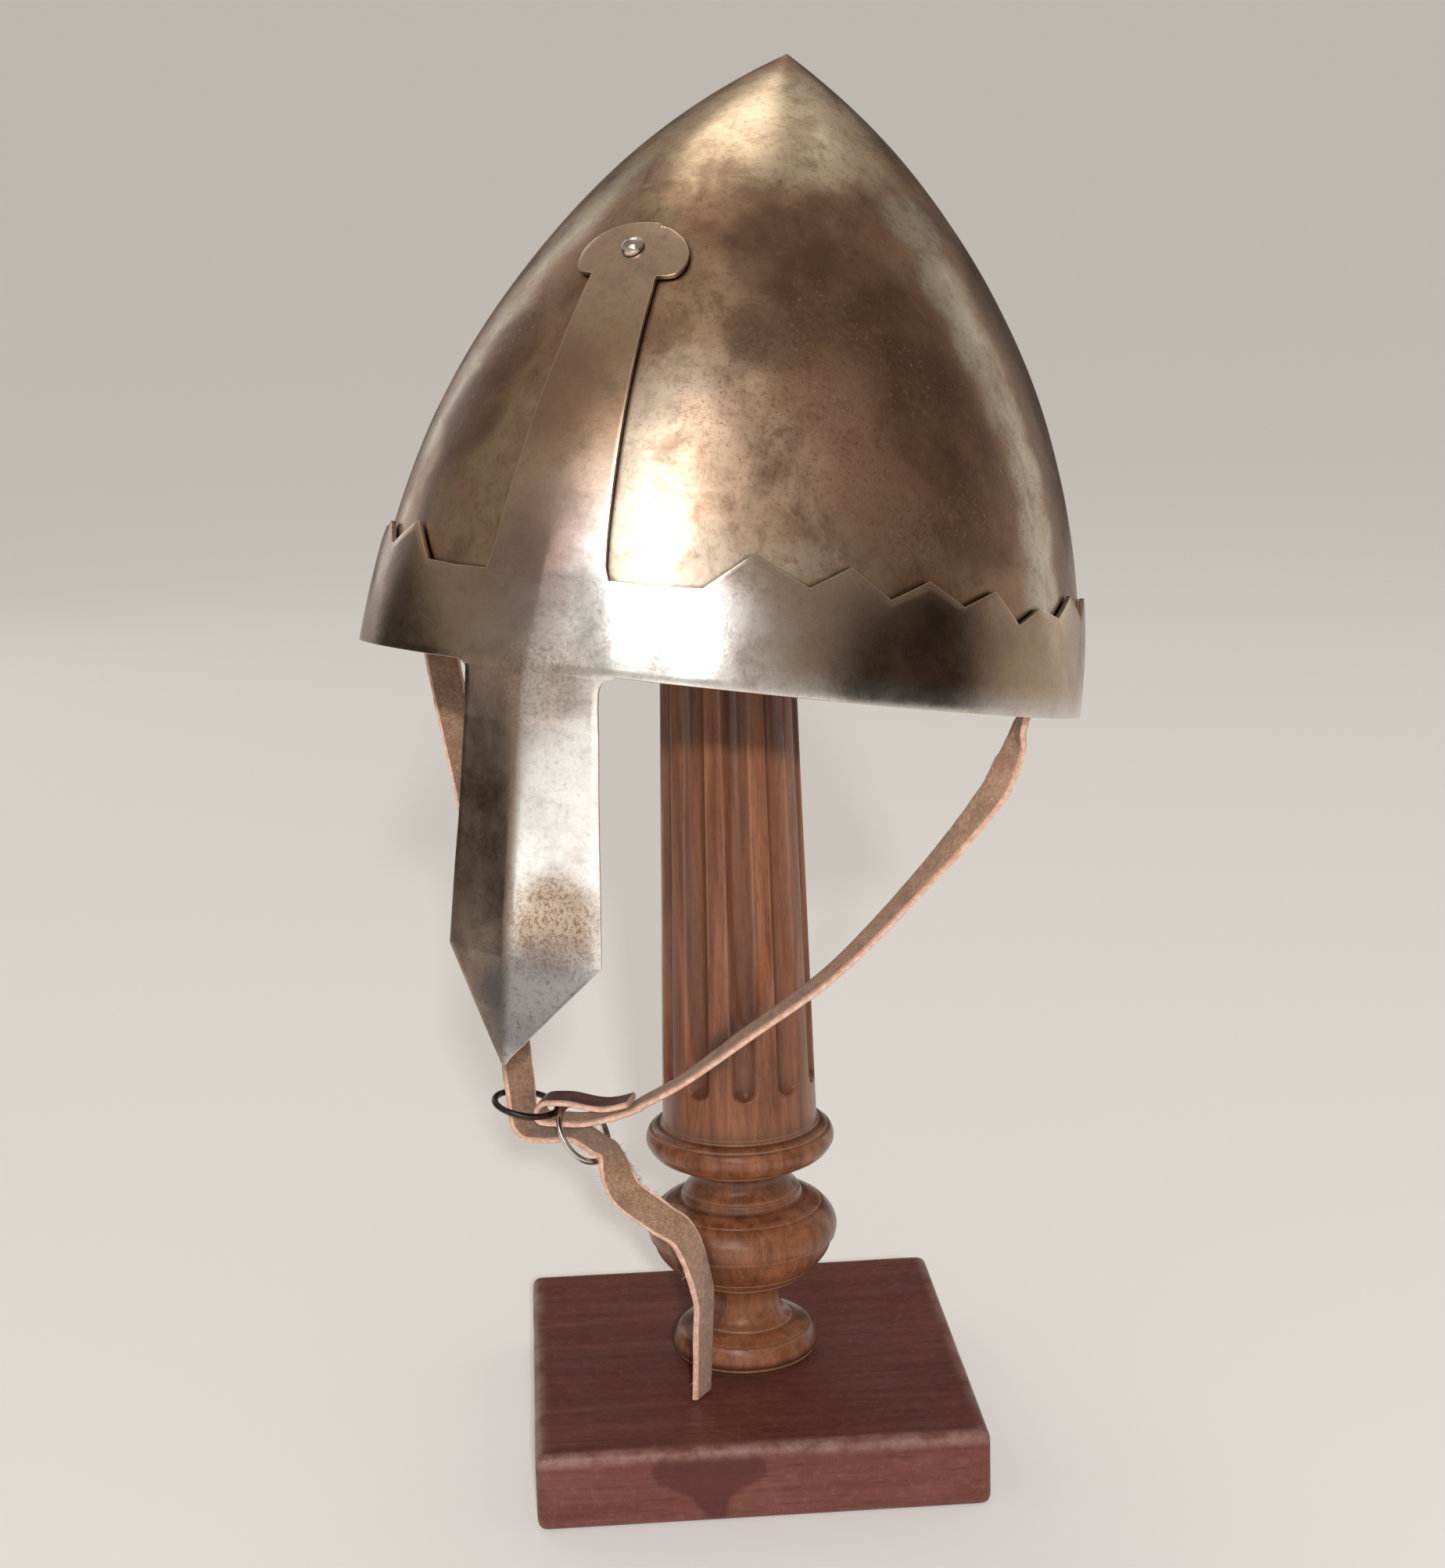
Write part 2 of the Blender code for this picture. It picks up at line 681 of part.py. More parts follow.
def wall_stations(angle):
    """Stations of a strap's riveted end, flat on the skull's inner wall, top first."""
    place = helmet_matrix()
    stations = []
    for share in (1.4, 0.0, -1.0, -1.6):
        height = STRAP_RISE + share * STRAP_RIVET_RADIUS
        spot = skull_point(angle, height, -wall_inset() - STRAP_THICKNESS / 2)
        across = on_skull(angle + 0.01, height) - on_skull(angle - 0.01, height)
        stations.append((place @ spot, place.to_3x3() @ across.normalized() * math.copysign(1, angle)))
    return stations


def make_strap_rivet(name, angle):
    place = helmet_matrix()
    seat = skull_point(angle, STRAP_RISE, -wall_inset() - STRAP_THICKNESS - 1.3 * GAP)
    inward = place.to_3x3() @ (seat - on_skull(angle, STRAP_RISE))
    half = STRAP_RIVET_THICKNESS / 2
    domed_disc(name, STRAP_RIVET_RADIUS, half, half, place @ seat, inward, STEEL)


def below_rim(angle, inward, turn):
    """The station where a strap leaves the helmet, this far inside the wall."""
    return helmet_matrix() @ skull_point(angle, 0.0, -(SKULL_WALL + inward)), heading(turn)


def keep_off_column(place):
    """Moves a station out from the axis until the strap's width clears the column."""
    room = column_radius(place.z) + STRAP_WIDTH / 2 + 2 * GAP
    aside = math.hypot(place.x, place.y)
    if aside >= room:
        return place
    return Vector((place.x * room / aside, place.y * room / aside, place.z))


def left_strap_route():
    start = below_rim(LEFT_STRAP_ANGLE, 0.55 * STRAP_WIDTH, -4)
    frame = buckle_frame()
    end = frame @ Vector((bright_ring()[0].x, 0, 0))
    route = wall_stations(LEFT_STRAP_ANGLE) + [start]
    for share, sag, bow, turn in LEFT_STRAP_ROWS:
        place = start[0].lerp(end, share) + heading(-27) * bow * LEFT_STRAP_BOW
        place.z -= sag * LEFT_STRAP_SAG
        route.append((keep_off_column(place), heading(turn)))
    return route + fold_stations()


def lower_layer(along):
    """Height of the fold's lower layer at this distance from the U-turn."""
    share = along / FOLD_LENGTH
    for (far, high), (near, low) in zip(LOWER_LAYER_ROWS, LOWER_LAYER_ROWS[1:]):
        if share > near:
            return (low + (high - low) * (share - near) / (far - near)) * FOLD_LENGTH
    return 0.0


def fold_stations():
    """The U-turn round both rings and the layer that lies back on the strap."""
    frame = buckle_frame()
    high = fold_height()
    peak = bright_ring()[0].x
    closed = STRAP_THICKNESS + 2 * GAP
    half = STRAP_THICKNESS / 2
    shape = [(along * FOLD_LENGTH, up * FOLD_LENGTH) for along, up in LOWER_LAYER_ROWS]
    shape += [
        (half, 0.02 * high),
        (-0.6 * half, 0.16 * high),
        (-half, 0.42 * high),
        (-0.3 * half, 0.72 * high),
        (1.6 * half, 0.93 * high),
        (0.36 * peak, high),
        (0.74 * peak, high),
    ]
    for share, apart in ((0.30, 1.7), (0.65, 1.25), (1.0, 1.1)):
        along = peak + share * (FOLD_LENGTH - peak)
        shape.append((along, lower_layer(along) + closed * apart))
    across = frame.to_3x3() @ Vector((0, 1, 0))
    return [(frame @ Vector((x, 0, z)), across) for x, z in shape]


def right_strap_route():
    start = below_rim(RIGHT_STRAP_ANGLE, 0.5 * STRAP_WIDTH, 45)
    frame = buckle_frame()
    radius = ring_radius()
    centre = dark_ring()[0]
    hole = frame @ Vector((-0.70 * radius, 0, centre.z + 0.02 * radius))
    route = wall_stations(RIGHT_STRAP_ANGLE) + [start]
    for share, bow, turn in RIGHT_STRAP_ROWS:
        place = start[0].lerp(hole, share) + heading(63) * bow * RIGHT_STRAP_BOW
        route.append((place, heading(turn)))
    route.append((hole, heading(23)))
    for along, high, turn, rise in UNDER_FOLD_ROWS:
        route.append((frame @ Vector((along * radius, 0, high * radius)), heading(turn, rise)))
    return route + through_ring_stations() + tail_stations()


def through_ring_stations():
    frame = buckle_frame()
    centre, normal = bright_ring()
    run = Vector((0.947, -0.113, -0.513))
    run = (run - normal * run.dot(normal)).normalized()
    across = normal.cross(run)
    stations = []
    for share_run, share_across, share_off in THROUGH_RING_ROWS:
        place = centre + (run * share_run + across * share_across + normal * share_off) * ring_radius()
        stations.append((frame @ place, frame.to_3x3() @ across))
    return stations


def tail_stations():
    """The free end: over to the bulb, down in front of it and onto the board."""
    least = BULB_RADIUS + STRAP_WIDTH / 2 + 2 * GAP
    stations = []
    for bearing, away, high, turn, rise in TAIL_ROWS:
        bearing = math.radians(bearing)
        place = Vector((math.sin(bearing), -math.cos(bearing), 0)) * away * least
        place.z = BOARD_THICKNESS + high * BALUSTER_HEIGHT
        stations.append((place, heading(turn, rise)))
    return stations


clear_scene()
PARTS = new_collection("nasal_helmet")
CUTTERS = new_collection("cutters", hidden=True)
STEEL = material("aged_steel", (0.36, 0.31, 0.25), 0.32, 1.0)
BAND_STEEL = material("band_steel", (0.42, 0.38, 0.34), 0.28, 1.0)
WOOD = material("walnut_wood", (0.20, 0.09, 0.05), 0.38, 0.0)
DARK_WOOD = material("dark_board_wood", (0.09, 0.03, 0.03), 0.35, 0.0)
LEATHER = material("suede_leather", (0.36, 0.24, 0.16), 0.85, 0.0)
BLACKENED = material("blackened_wire", (0.05, 0.04, 0.04), 0.40, 1.0)
NICKEL = material("nickel_wire", (0.70, 0.68, 0.66), 0.22, 1.0)

HELMET = bpy.data.objects.new("helmet_pose", None)
PARTS.objects.link(HELMET)
HELMET.matrix_world = helmet_matrix()
make_skull()
make_band_and_nasal()
make_strip_rivet()
make_board()
make_column()
make_ribbon("chin_strap_left", left_strap_route())
make_ribbon("chin_strap_right", right_strap_route())
make_strap_rivet("strap_rivet_left", LEFT_STRAP_ANGLE)
make_strap_rivet("strap_rivet_right", RIGHT_STRAP_ANGLE)
make_ring("dark_ring", *dark_ring(), BLACKENED)
make_ring("bright_ring", *bright_ring(), NICKEL)
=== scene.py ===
# Looks of the nasal helmet on its turned stand, in metres: +Z up, front at -Y, wearer's left at +X

import math
import random

import bmesh
import bpy
from mathutils import Euler, Matrix, Vector, noise


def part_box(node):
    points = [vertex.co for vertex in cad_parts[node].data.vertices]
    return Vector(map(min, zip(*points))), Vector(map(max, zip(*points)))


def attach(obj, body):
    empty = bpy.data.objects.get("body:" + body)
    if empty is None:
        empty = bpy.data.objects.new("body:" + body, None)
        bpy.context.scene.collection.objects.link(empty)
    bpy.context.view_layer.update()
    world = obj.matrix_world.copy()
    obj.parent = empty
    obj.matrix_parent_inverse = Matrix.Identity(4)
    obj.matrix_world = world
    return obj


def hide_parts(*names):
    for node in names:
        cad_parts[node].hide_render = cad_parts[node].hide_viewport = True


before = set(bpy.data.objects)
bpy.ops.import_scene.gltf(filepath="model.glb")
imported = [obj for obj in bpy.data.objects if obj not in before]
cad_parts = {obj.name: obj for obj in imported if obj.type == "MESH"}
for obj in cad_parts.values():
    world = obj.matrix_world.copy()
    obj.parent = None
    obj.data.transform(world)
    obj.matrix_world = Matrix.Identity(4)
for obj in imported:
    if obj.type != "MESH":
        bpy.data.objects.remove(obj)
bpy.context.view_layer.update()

# Clearance between touching pieces, and the same room for facets as in the solids
GAP = 0.0003
FACET_ROOM = 0.0003

# Soft unevenness: size, depth and seed of its noise
SKULL_DENT = (0.055, 0.0004, 3.1)
SKULL_RIPPLE = (0.024, 0.00012, 7.7)
NASAL_DENT = (0.02, 0.00025, 5.0)
COLUMN_RIPPLE = (1.2, 0.0001, 0.0)
BOARD_WEAR = (0.03, 0.00025, 1.0)

# Stand
BOARD_SIDE = 0.1405
BOARD_THICKNESS = 0.0247
BOARD_ROUNDING = 0.0038
BOARD_TURN = math.radians(31.0)
BALUSTER_HEIGHT = 0.0815
BULB_RADIUS = 0.0309
FLARE_RADIUS = 0.0237
NECK_RADIUS = 0.0114
COLLAR_RADIUS = 0.0305
COLUMN_LOW_RADIUS = 0.025
COLUMN_TOP_RADIUS = 0.0176
FLUTE_COUNT = 10
FLUTE_RADIUS = 0.0044
FLUTE_DEPTH = 0.0026
FLUTE_RISE = 0.0125
FLUTE_TURN = math.radians(-59.0)
FLUTE_FADE = 0.0015
FLUTE_RUNOUT = 0.007
ARRIS_ROUNDING = 0.0003

# Skull
SKULL_HALF_WIDTH = 0.1045
SKULL_HALF_LENGTH = 0.1149
SKULL_HEIGHT = 0.1873
SKULL_WALL = 0.0015
SKULL_BEVEL = 0.0003
SKULL_BELLY = -0.044
SPINE_BOW = 0.0033
SPINE_TOP = 0.0019
APEX_LEAN = -0.0026
RIM_CENTRE = Vector((0.0104, -0.0235, 0.2558))
HELMET_PITCH = math.radians(-11.4)
HELMET_ROLL = math.radians(3.0)

# Brow band, strip and nasal
SHEET_WALL = 0.0015
SHEET_BEVEL = 0.0004
BAND_HEIGHT = 0.0246
TOOTH_HEIGHT = 0.0352
TOOTH_PITCH = math.radians(13.0)
STRIP_FOOT_HALF_WIDTH = 0.0184
STRIP_NECK_HALF_WIDTH = 0.0101
STRIP_REACH = 0.083
STRIP_LEAN = 0.0046
HEAD_HEIGHT = 0.0158
HEAD_HALF_WIDTH = 0.0168
NASAL_DROP = 0.107
NASAL_HALF_WIDTH = 0.0234
NASAL_LEAN = 0.0119
NASAL_FOLD = math.radians(23.5)
NASAL_CORNER_LEFT = 0.0046
NASAL_CORNER_RIGHT = 0.0024
KEEL_PROUD = 0.0018
KEEL_FADE = 0.042
KEEL_ROUNDING_TOP = 0.0022
KEEL_ROUNDING_TIP = 0.0007
RIVET_RADIUS = 0.0034
RIVET_DOME = 0.0025

# Chin strap
STRAP_WIDTH = 0.011
STRAP_THICKNESS = 0.002
STRAP_TRIM = 0.0002
FIBRE_LENGTH = (0.0006, 0.0024)
FIBRE_RADIUS = (0.00006, 0.00014)
FIBRE_CURL = 0.0006
STRAP_RIVET_RADIUS = 0.004
STRAP_RISE = 0.0165
RIVETED_END = (1.4, 0.0, -1.0, -1.6)
LEFT_STRAP_ANGLE = math.radians(92)
RIGHT_STRAP_ANGLE = math.radians(-86)
WIRE_RADIUS = 0.001
RING_ROOM = 0.0035
BUCKLE_TURN = math.radians(13.7)
BUCKLE_PLACE = Vector((-0.0465, -0.0457, 0.1142))
BUCKLE_TILT = math.radians(11.0)
BRIGHT_RING_NORMAL = Vector((0.78, -0.29, 0.58))
RING_PASSAGE = Vector((0.947, -0.113, -0.513))
FOLD_LENGTH = 0.029
LEFT_STRAP_SAG = 0.0278
LEFT_STRAP_BOW = 0.011
LEFT_BOW_TURN = -27
RIGHT_STRAP_BOW = 0.0018
RIGHT_BOW_TURN = 63

# Camera of the photograph
CAMERA_PLACE = Vector((0.371, -0.7312, 0.4038))
CAMERA_AIM = Vector((-0.0023, -0.0012, 0.2168))
CAMERA_ROLL = -0.0272
CAMERA_LENS = 61.17

# Stand's turning, under the radius that its rows follow. Columns: share of
# BALUSTER_HEIGHT, share of the radius, and True where the curve has a crease
TURNED_ROWS = {
    FLARE_RADIUS: (
        (0.0, 0.93, True),
        (0.02, 0.97, False),
        (0.05, 1.0, False),
        (0.09, 0.96, False),
        (0.118, 0.9, True),
        (0.124, 0.85, False),
        (0.146, 0.68, True),
    ),
    NECK_RADIUS: (
        (0.178, 1.14, False),
        (0.24, 1.0, False),
        (0.3, 1.05, False),
        (0.33, 1.3, False),
    ),
    BULB_RADIUS: (
        (0.342, 0.63, True),
        (0.352, 0.66, True),
        (0.4, 0.81, False),
        (0.45, 0.91, False),
        (0.5, 0.952, True),
        (0.508, 0.985, True),
        (0.545, 1.0, False),
        (0.59, 0.965, False),
        (0.635, 0.86, False),
        (0.668, 0.7, True),
        (0.676, 0.64, True),
        (0.705, 0.61, False),
        (0.742, 0.53, False),
        (0.785, 0.51, False),
    ),
    COLLAR_RADIUS: (
        (0.818, 0.6, True),
        (0.825, 0.73, False),
        (0.842, 0.77, True),
        (0.86, 0.9, False),
        (0.895, 0.98, False),
        (0.925, 1.0, False),
        (0.958, 0.965, False),
        (0.983, 0.88, True),
    ),
    COLUMN_LOW_RADIUS: (
        (0.99, 1.035, False),
        (1.0, 1.0, False),
    ),
}

# Fine grooves of the turning. Columns: share of BALUSTER_HEIGHT, depth, half width
GROOVE_ROWS = (
    (0.03, 0.00035, 0.0004),
    (0.118, 0.00045, 0.0004),
    (0.15, 0.0005, 0.0005),
    (0.352, 0.00045, 0.0004),
    (0.395, 0.0004, 0.0004),
    (0.506, 0.00045, 0.0004),
    (0.64, 0.00035, 0.0004),
    (0.674, 0.0005, 0.0005),
    (0.705, 0.00035, 0.0004),
    (0.84, 0.0005, 0.0005),
    (0.965, 0.00045, 0.0004),
    (0.987, 0.0005, 0.0005),
)

# Cut edge of the brow band on one side. Columns: degrees, share of TOOTH_HEIGHT
BAND_EDGE = (
    (17.0, 0.7),
    (24.0, 0.72),
    (30.4, 1.01),
    (39.0, 0.81),
    (45.0, 1.0),
    (51.5, 0.79),
    (57.9, 0.965),
    (64.4, 0.8),
    (70.8, 0.95),
    (76.6, 0.71),
    (82.5, 0.86),
)
EDGE_VALLEY = 0.8

# Nasal below the rim. Columns: share of NASAL_DROP, of NASAL_HALF_WIDTH,
# of the slope of NASAL_FOLD and of NASAL_LEAN
NASAL_ROWS = (
    (0.0, 0.859, 0.45, 0.0),
    (0.075, 0.859, 0.61, 0.05),
    (0.14, 0.868, 0.71, 0.12),
    (0.28, 0.893, 0.78, 0.23),
    (0.42, 0.923, 0.86, 0.34),
    (0.56, 0.962, 0.94, 0.44),
    (0.729, 1.0, 1.0, 0.59),
    (0.86, 0.517, 1.0, 0.77),
    (0.985, 0.055, 1.0, 0.97),
    (1.0, 0.018, 1.0, 1.0),
)

# Strip above the band: share of STRIP_REACH, share of the narrowing
STRIP_ROWS = (
    (0.0, 0.0),
    (0.045, 0.16),
    (0.14, 0.27),
    (0.27, 0.39),
    (0.42, 0.52),
    (0.57, 0.65),
    (0.72, 0.78),
    (0.87, 0.9),
    (1.0, 1.0),
)

# Rounded head of the strip. Columns: share of HEAD_HEIGHT, of HEAD_HALF_WIDTH
HEAD_ROWS = (
    (0.0, 0.601),
    (0.03, 0.84),
    (0.12, 0.95),
    (0.28, 1.0),
    (0.5, 0.97),
    (0.72, 0.81),
    (0.89, 0.54),
    (0.98, 0.25),
    (1.0, 0.04),
)

# Left strap from rim to buckle. Columns: share of the way, share of
# LEFT_STRAP_SAG, share of LEFT_STRAP_BOW, heading of its width in degrees
LEFT_STRAP_ROWS = (
    (0.015, 0.23, 0.55, -44),
    (0.036, 0.42, 0.64, -60),
    (0.081, 0.64, 0.82, -62),
    (0.219, 0.87, 0.96, -48),
    (0.417, 1.0, 1.0, -37),
    (0.625, 0.8, 0.77, -32),
    (0.763, 0.62, 0.33, -22),
    (0.863, 0.44, 0.27, -16),
)
# Lower layer of the fold. Columns: share of FOLD_LENGTH along it, and up
LOWER_LAYER_ROWS = (
    (1.0, 0.165),
    (0.78, 0.085),
    (0.58, 0.03),
    (0.42, 0.005),
    (0.24, 0.0),
)
# Right strap down to the blackened ring. Columns: share of the way, share of
# RIGHT_STRAP_BOW, heading
RIGHT_STRAP_ROWS = (
    (0.12, 0.25, 63),
    (0.35, 1.0, 61),
    (0.65, 1.0, 50),
    (0.9, 0.45, 32),
)
# Under the fold. Columns: along and up in shares of RING_RADIUS, heading, rise
UNDER_FOLD_ROWS = (
    (-0.7, 0.2, 22, 0),
    (-0.62, -0.18, 20, 2),
    (-0.34, -0.44, 16, 6),
    (0.25, -0.5, 10, 10),
)
# Through the bright ring, in shares of RING_RADIUS. Columns: run, across, off
THROUGH_RING_ROWS = (
    (-0.15, -0.07, -0.23),
    (0.22, -0.02, 0.0),
    (0.62, -0.02, 0.175),
    (1.0, -0.02, 0.34),
)
# Free end. Columns: bearing round the column, share of the least distance from
# it, share of BALUSTER_HEIGHT, heading, rise
TAIL_ROWS = (
    (-24.0, 1.327, 0.882, 32, 36),
    (-20.3, 1.285, 0.825, 40, 36),
    (-10.1, 1.151, 0.74, 36, 28),
    (-0.6, 1.054, 0.655, 18, 12),
    (6.4, 1.01, 0.443, 6, 2),
    (5.8, 1.0, 0.28, 3, 0),
    (4.6, 1.02, 0.012, 0, 0),
)


# Meshes
def link(name, data):
    """A new object in the scene."""
    made = bpy.data.objects.new(name, data)
    bpy.context.scene.collection.objects.link(made)
    return made


def add_piece(name, points, faces, materials, replaces, sharp=35):
    """A mesh object that rides on the object's one body."""
    mesh = bpy.data.meshes.new(name)
    mesh.from_pydata(points, [], faces)
    mesh.validate()
    mesh.shade_smooth()
    if sharp:
        mesh.set_sharp_from_angle(angle=math.radians(sharp))
    for material in materials:
        mesh.materials.append(material)
    piece = link(name, mesh)
    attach(piece, "root")
    if replaces:
        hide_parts(*replaces)
    return piece


def add_wall(piece, thickness, offset, rounding):
    """Gives a sheet its wall and rounds the hard edges that the wall leaves."""
    wall = piece.modifiers.new("wall", "SOLIDIFY")
    wall.thickness = thickness
    wall.offset = offset
    edges = piece.modifiers.new("edges", "BEVEL")
    edges.width = rounding
    edges.segments = 2
    edges.limit_method = "ANGLE"
    edges.angle_limit = math.radians(50)


def polar(radius, turn, height):
    return Vector((radius * math.cos(turn), radius * math.sin(turn), height))


def circle(count):
    """This many even turns of a full circle."""
    return [2 * math.pi * i / count for i in range(count)]


def fan(start, count, tip):
    """Triangles from a closed row of points to one tip."""
    return [(start + i, start + (i + 1) % count, tip) for i in range(count)]


def flipped(faces):
    return [tuple(reversed(face)) for face in faces]


def facing(direction):
    """The turn that lays +Z along a direction."""
    return direction.to_track_quat("Z", "Y").to_matrix().to_4x4()


def grid_faces(rows, columns, start=0, closed=False):
    """Quads of a grid whose points are listed row by row."""
    faces = []
    for row in range(rows - 1):
        for column in range(columns if closed else columns - 1):
            beside = (column + 1) % columns
            low = start + row * columns
            faces.append((low + column, low + beside, low + columns + beside, low + columns + column))
    return faces


def blend(low, high, share):
    return low + (high - low) * share


def between(values, share):
    """Catmull-Rom value at a share of the second of four values' stretch."""
    a, b, c, d = values
    rest = (2 * a - 5 * b + 4 * c - d) * share**2 + (3 * b - a - 3 * c + d) * share**3
    return (2 * b + (c - a) * share + rest) / 2


def along_table(rows, share, column):
    """Straight-line value of a table's column at a share of its first column."""
    for low, high in zip(rows, rows[1:]):
        if share <= high[0]:
            part = (share - low[0]) / (high[0] - low[0])
            return blend(low[column], high[column], max(part, 0.0))
    return rows[-1][column]


def even(count, low=0.0, high=1.0):
    """This many even steps from low to high, both included."""
    return [low + (high - low) * i / count for i in range(count + 1)]


def swell(place, size, depth, seed):
    """Soft unevenness of hand-worked sheet or wood: depth times smooth noise."""
    return depth * noise.noise(place / size + Vector((seed, -seed, 2 * seed)))


# The helmet's surface, in its own frame: +Z up from the rim, front at -Y
SMALL_STEP = 0.001


def ogive(height):
    mean = (SKULL_HALF_WIDTH + SKULL_HALF_LENGTH) / 2
    tall = SKULL_HEIGHT / mean
    arc = (1 + (tall - SKULL_BELLY) ** 2 - SKULL_BELLY**2) / 2
    reach = arc**2 + SKULL_BELLY**2 - (height / mean - SKULL_BELLY) ** 2
    return max(1 - arc + math.sqrt(max(reach, 0.0)), 0.0)


def on_skull(angle, height):
    share = height / SKULL_HEIGHT
    radius = ogive(height)
    x = SKULL_HALF_WIDTH * radius * math.sin(angle) + APEX_LEAN * share**2
    y = -SKULL_HALF_LENGTH * radius * math.cos(angle)
    y += 4 * SPINE_BOW * share * (1 - share) + SPINE_TOP * share**2
    return Vector((x, y, height))


def skull_point(angle, height, lift=0.0):
    """A point lifted off the skull's outer surface along its normal, with soft dents."""
    low = min(max(height, 0.0), SKULL_HEIGHT - 2 * SMALL_STEP)
    along = on_skull(angle + SMALL_STEP, low) - on_skull(angle - SMALL_STEP, low)
    up = on_skull(angle, low + SMALL_STEP) - on_skull(angle, low)
    place = on_skull(angle, height)
    fade = min(1.0, (SKULL_HEIGHT - height) / (0.15 * SKULL_HEIGHT))
    dent = (swell(place, *SKULL_DENT) + swell(place, *SKULL_RIPPLE)) * fade
    return place + along.cross(up).normalized() * (lift + dent)


def skull_point_at(side, height, lift=0.0):
    """The point on the skull's front that lies this far to the side."""
    share = (side - APEX_LEAN * (height / SKULL_HEIGHT) ** 2) / (SKULL_HALF_WIDTH * ogive(height))
    return skull_point(math.asin(share), height, lift)


HELMET = Matrix.Translation(RIM_CENTRE) @ (
    Euler((HELMET_PITCH, 0, 0)).to_matrix() @ Euler((0, HELMET_ROLL, 0)).to_matrix()
).to_4x4()


def make_skull(finish):
    rings, segments = 110, 220
    points = []
    for ring in range(rings):
        height = SKULL_HEIGHT * (1 - (1 - ring / rings) ** 1.15)
        points += [HELMET @ skull_point(turn, height) for turn in circle(segments)]
    faces = grid_faces(rings, segments, closed=True) + fan((rings - 1) * segments, segments, len(points))
    points.append(HELMET @ on_skull(0, SKULL_HEIGHT))
    skull = add_piece("skull_shell", points, faces, [finish], ("skull",), sharp=0)
    add_wall(skull, SKULL_WALL, -1, SKULL_BEVEL)


def band_edge():
    """(angle, height) along the band's cut edge, from the front round to the front."""
    half = [(math.radians(angle), share * TOOTH_HEIGHT) for angle, share in BAND_EDGE]
    angle = half[-1][0]
    count = max(int((math.pi - angle) / TOOTH_PITCH), 1)
    step = (math.pi - angle) / (count + 0.5)
    for i in range(count):
        half.append((angle + (i + 0.5) * step, EDGE_VALLEY * TOOTH_HEIGHT))
        half.append((angle + (i + 1) * step, TOOTH_HEIGHT))
    middle = [(math.pi, EDGE_VALLEY * TOOTH_HEIGHT)]
    return half + middle + [(2 * math.pi - a, height) for a, height in reversed(half)]


def refine(edge, parts):
    """Splits each stretch of the edge into this many parts."""
    finer = [edge[0]]
    for (angle_a, height_a), (angle_b, height_b) in zip(edge, edge[1:]):
        for i in range(1, parts + 1):
            finer.append((blend(angle_a, angle_b, i / parts), blend(height_a, height_b, i / parts)))
    return finer


SHEET_ACROSS = (
    even(5, -1.0, -0.55)
    + even(5, -0.55, -0.12)[1:]
    + even(8, -0.12, 0.12)[1:]
    + even(5, 0.12, 0.55)[1:]
    + even(5, 0.55, 1.0)[1:]
)
BAND_LEVELS = even(12)
EASE_BELOW_RIM = 0.012
EASE_STEPS = 40


def corner(drop, radius):
    """How much wider a side is at this drop, inside a rounded inner corner."""
    return radius - math.sqrt(radius**2 - (radius - drop) ** 2) if drop < radius else 0.0


def nasal_row(share):
    """Points across the nasal: two halves folded at the keel."""
    drop = share * NASAL_DROP
    keel = -on_skull(0, 0).y + GAP + FACET_ROOM + KEEL_PROUD - along_table(NASAL_ROWS, share, 3) * NASAL_LEAN
    slope = along_table(NASAL_ROWS, share, 2) * math.tan(NASAL_FOLD)
    rounding = blend(KEEL_ROUNDING_TOP, KEEL_ROUNDING_TIP, min(share * 2.5, 1.0))
    points = []
    for across in SHEET_ACROSS:
        half_width = along_table(NASAL_ROWS, share, 1) * NASAL_HALF_WIDTH
        half_width += corner(drop, NASAL_CORNER_LEFT if across > 0 else NASAL_CORNER_RIGHT)
        side = across * half_width
        back = slope * (math.hypot(side, rounding) - rounding)
        place = Vector((side, back - keel, -drop))
        place.y += swell(place, *NASAL_DENT)
        points.append(place)
    return points


def strip_row(height, left, right):
    """Points across the sheet where it lies on the skull, with the fading keel."""
    proud = KEEL_PROUD * max(0.0, 1 - height / KEEL_FADE) ** 1.5
    points = []
    for across in SHEET_ACROSS:
        side = right * across if across > 0 else -left * across
        point = skull_point_at(side, height, GAP + FACET_ROOM)
        point.y -= proud * max(0.0, 1 - abs(across) / 0.55)
        points.append(point)
    return points


def strip_centre(rise):
    """How far the leaning strip's middle lies to the side, this high above the band."""
    return -STRIP_LEAN * rise / (STRIP_REACH + HEAD_HEIGHT)


def row_above_band(rise, half):
    centre = strip_centre(rise)
    return strip_row(BAND_HEIGHT + rise, centre - half, centre + half)


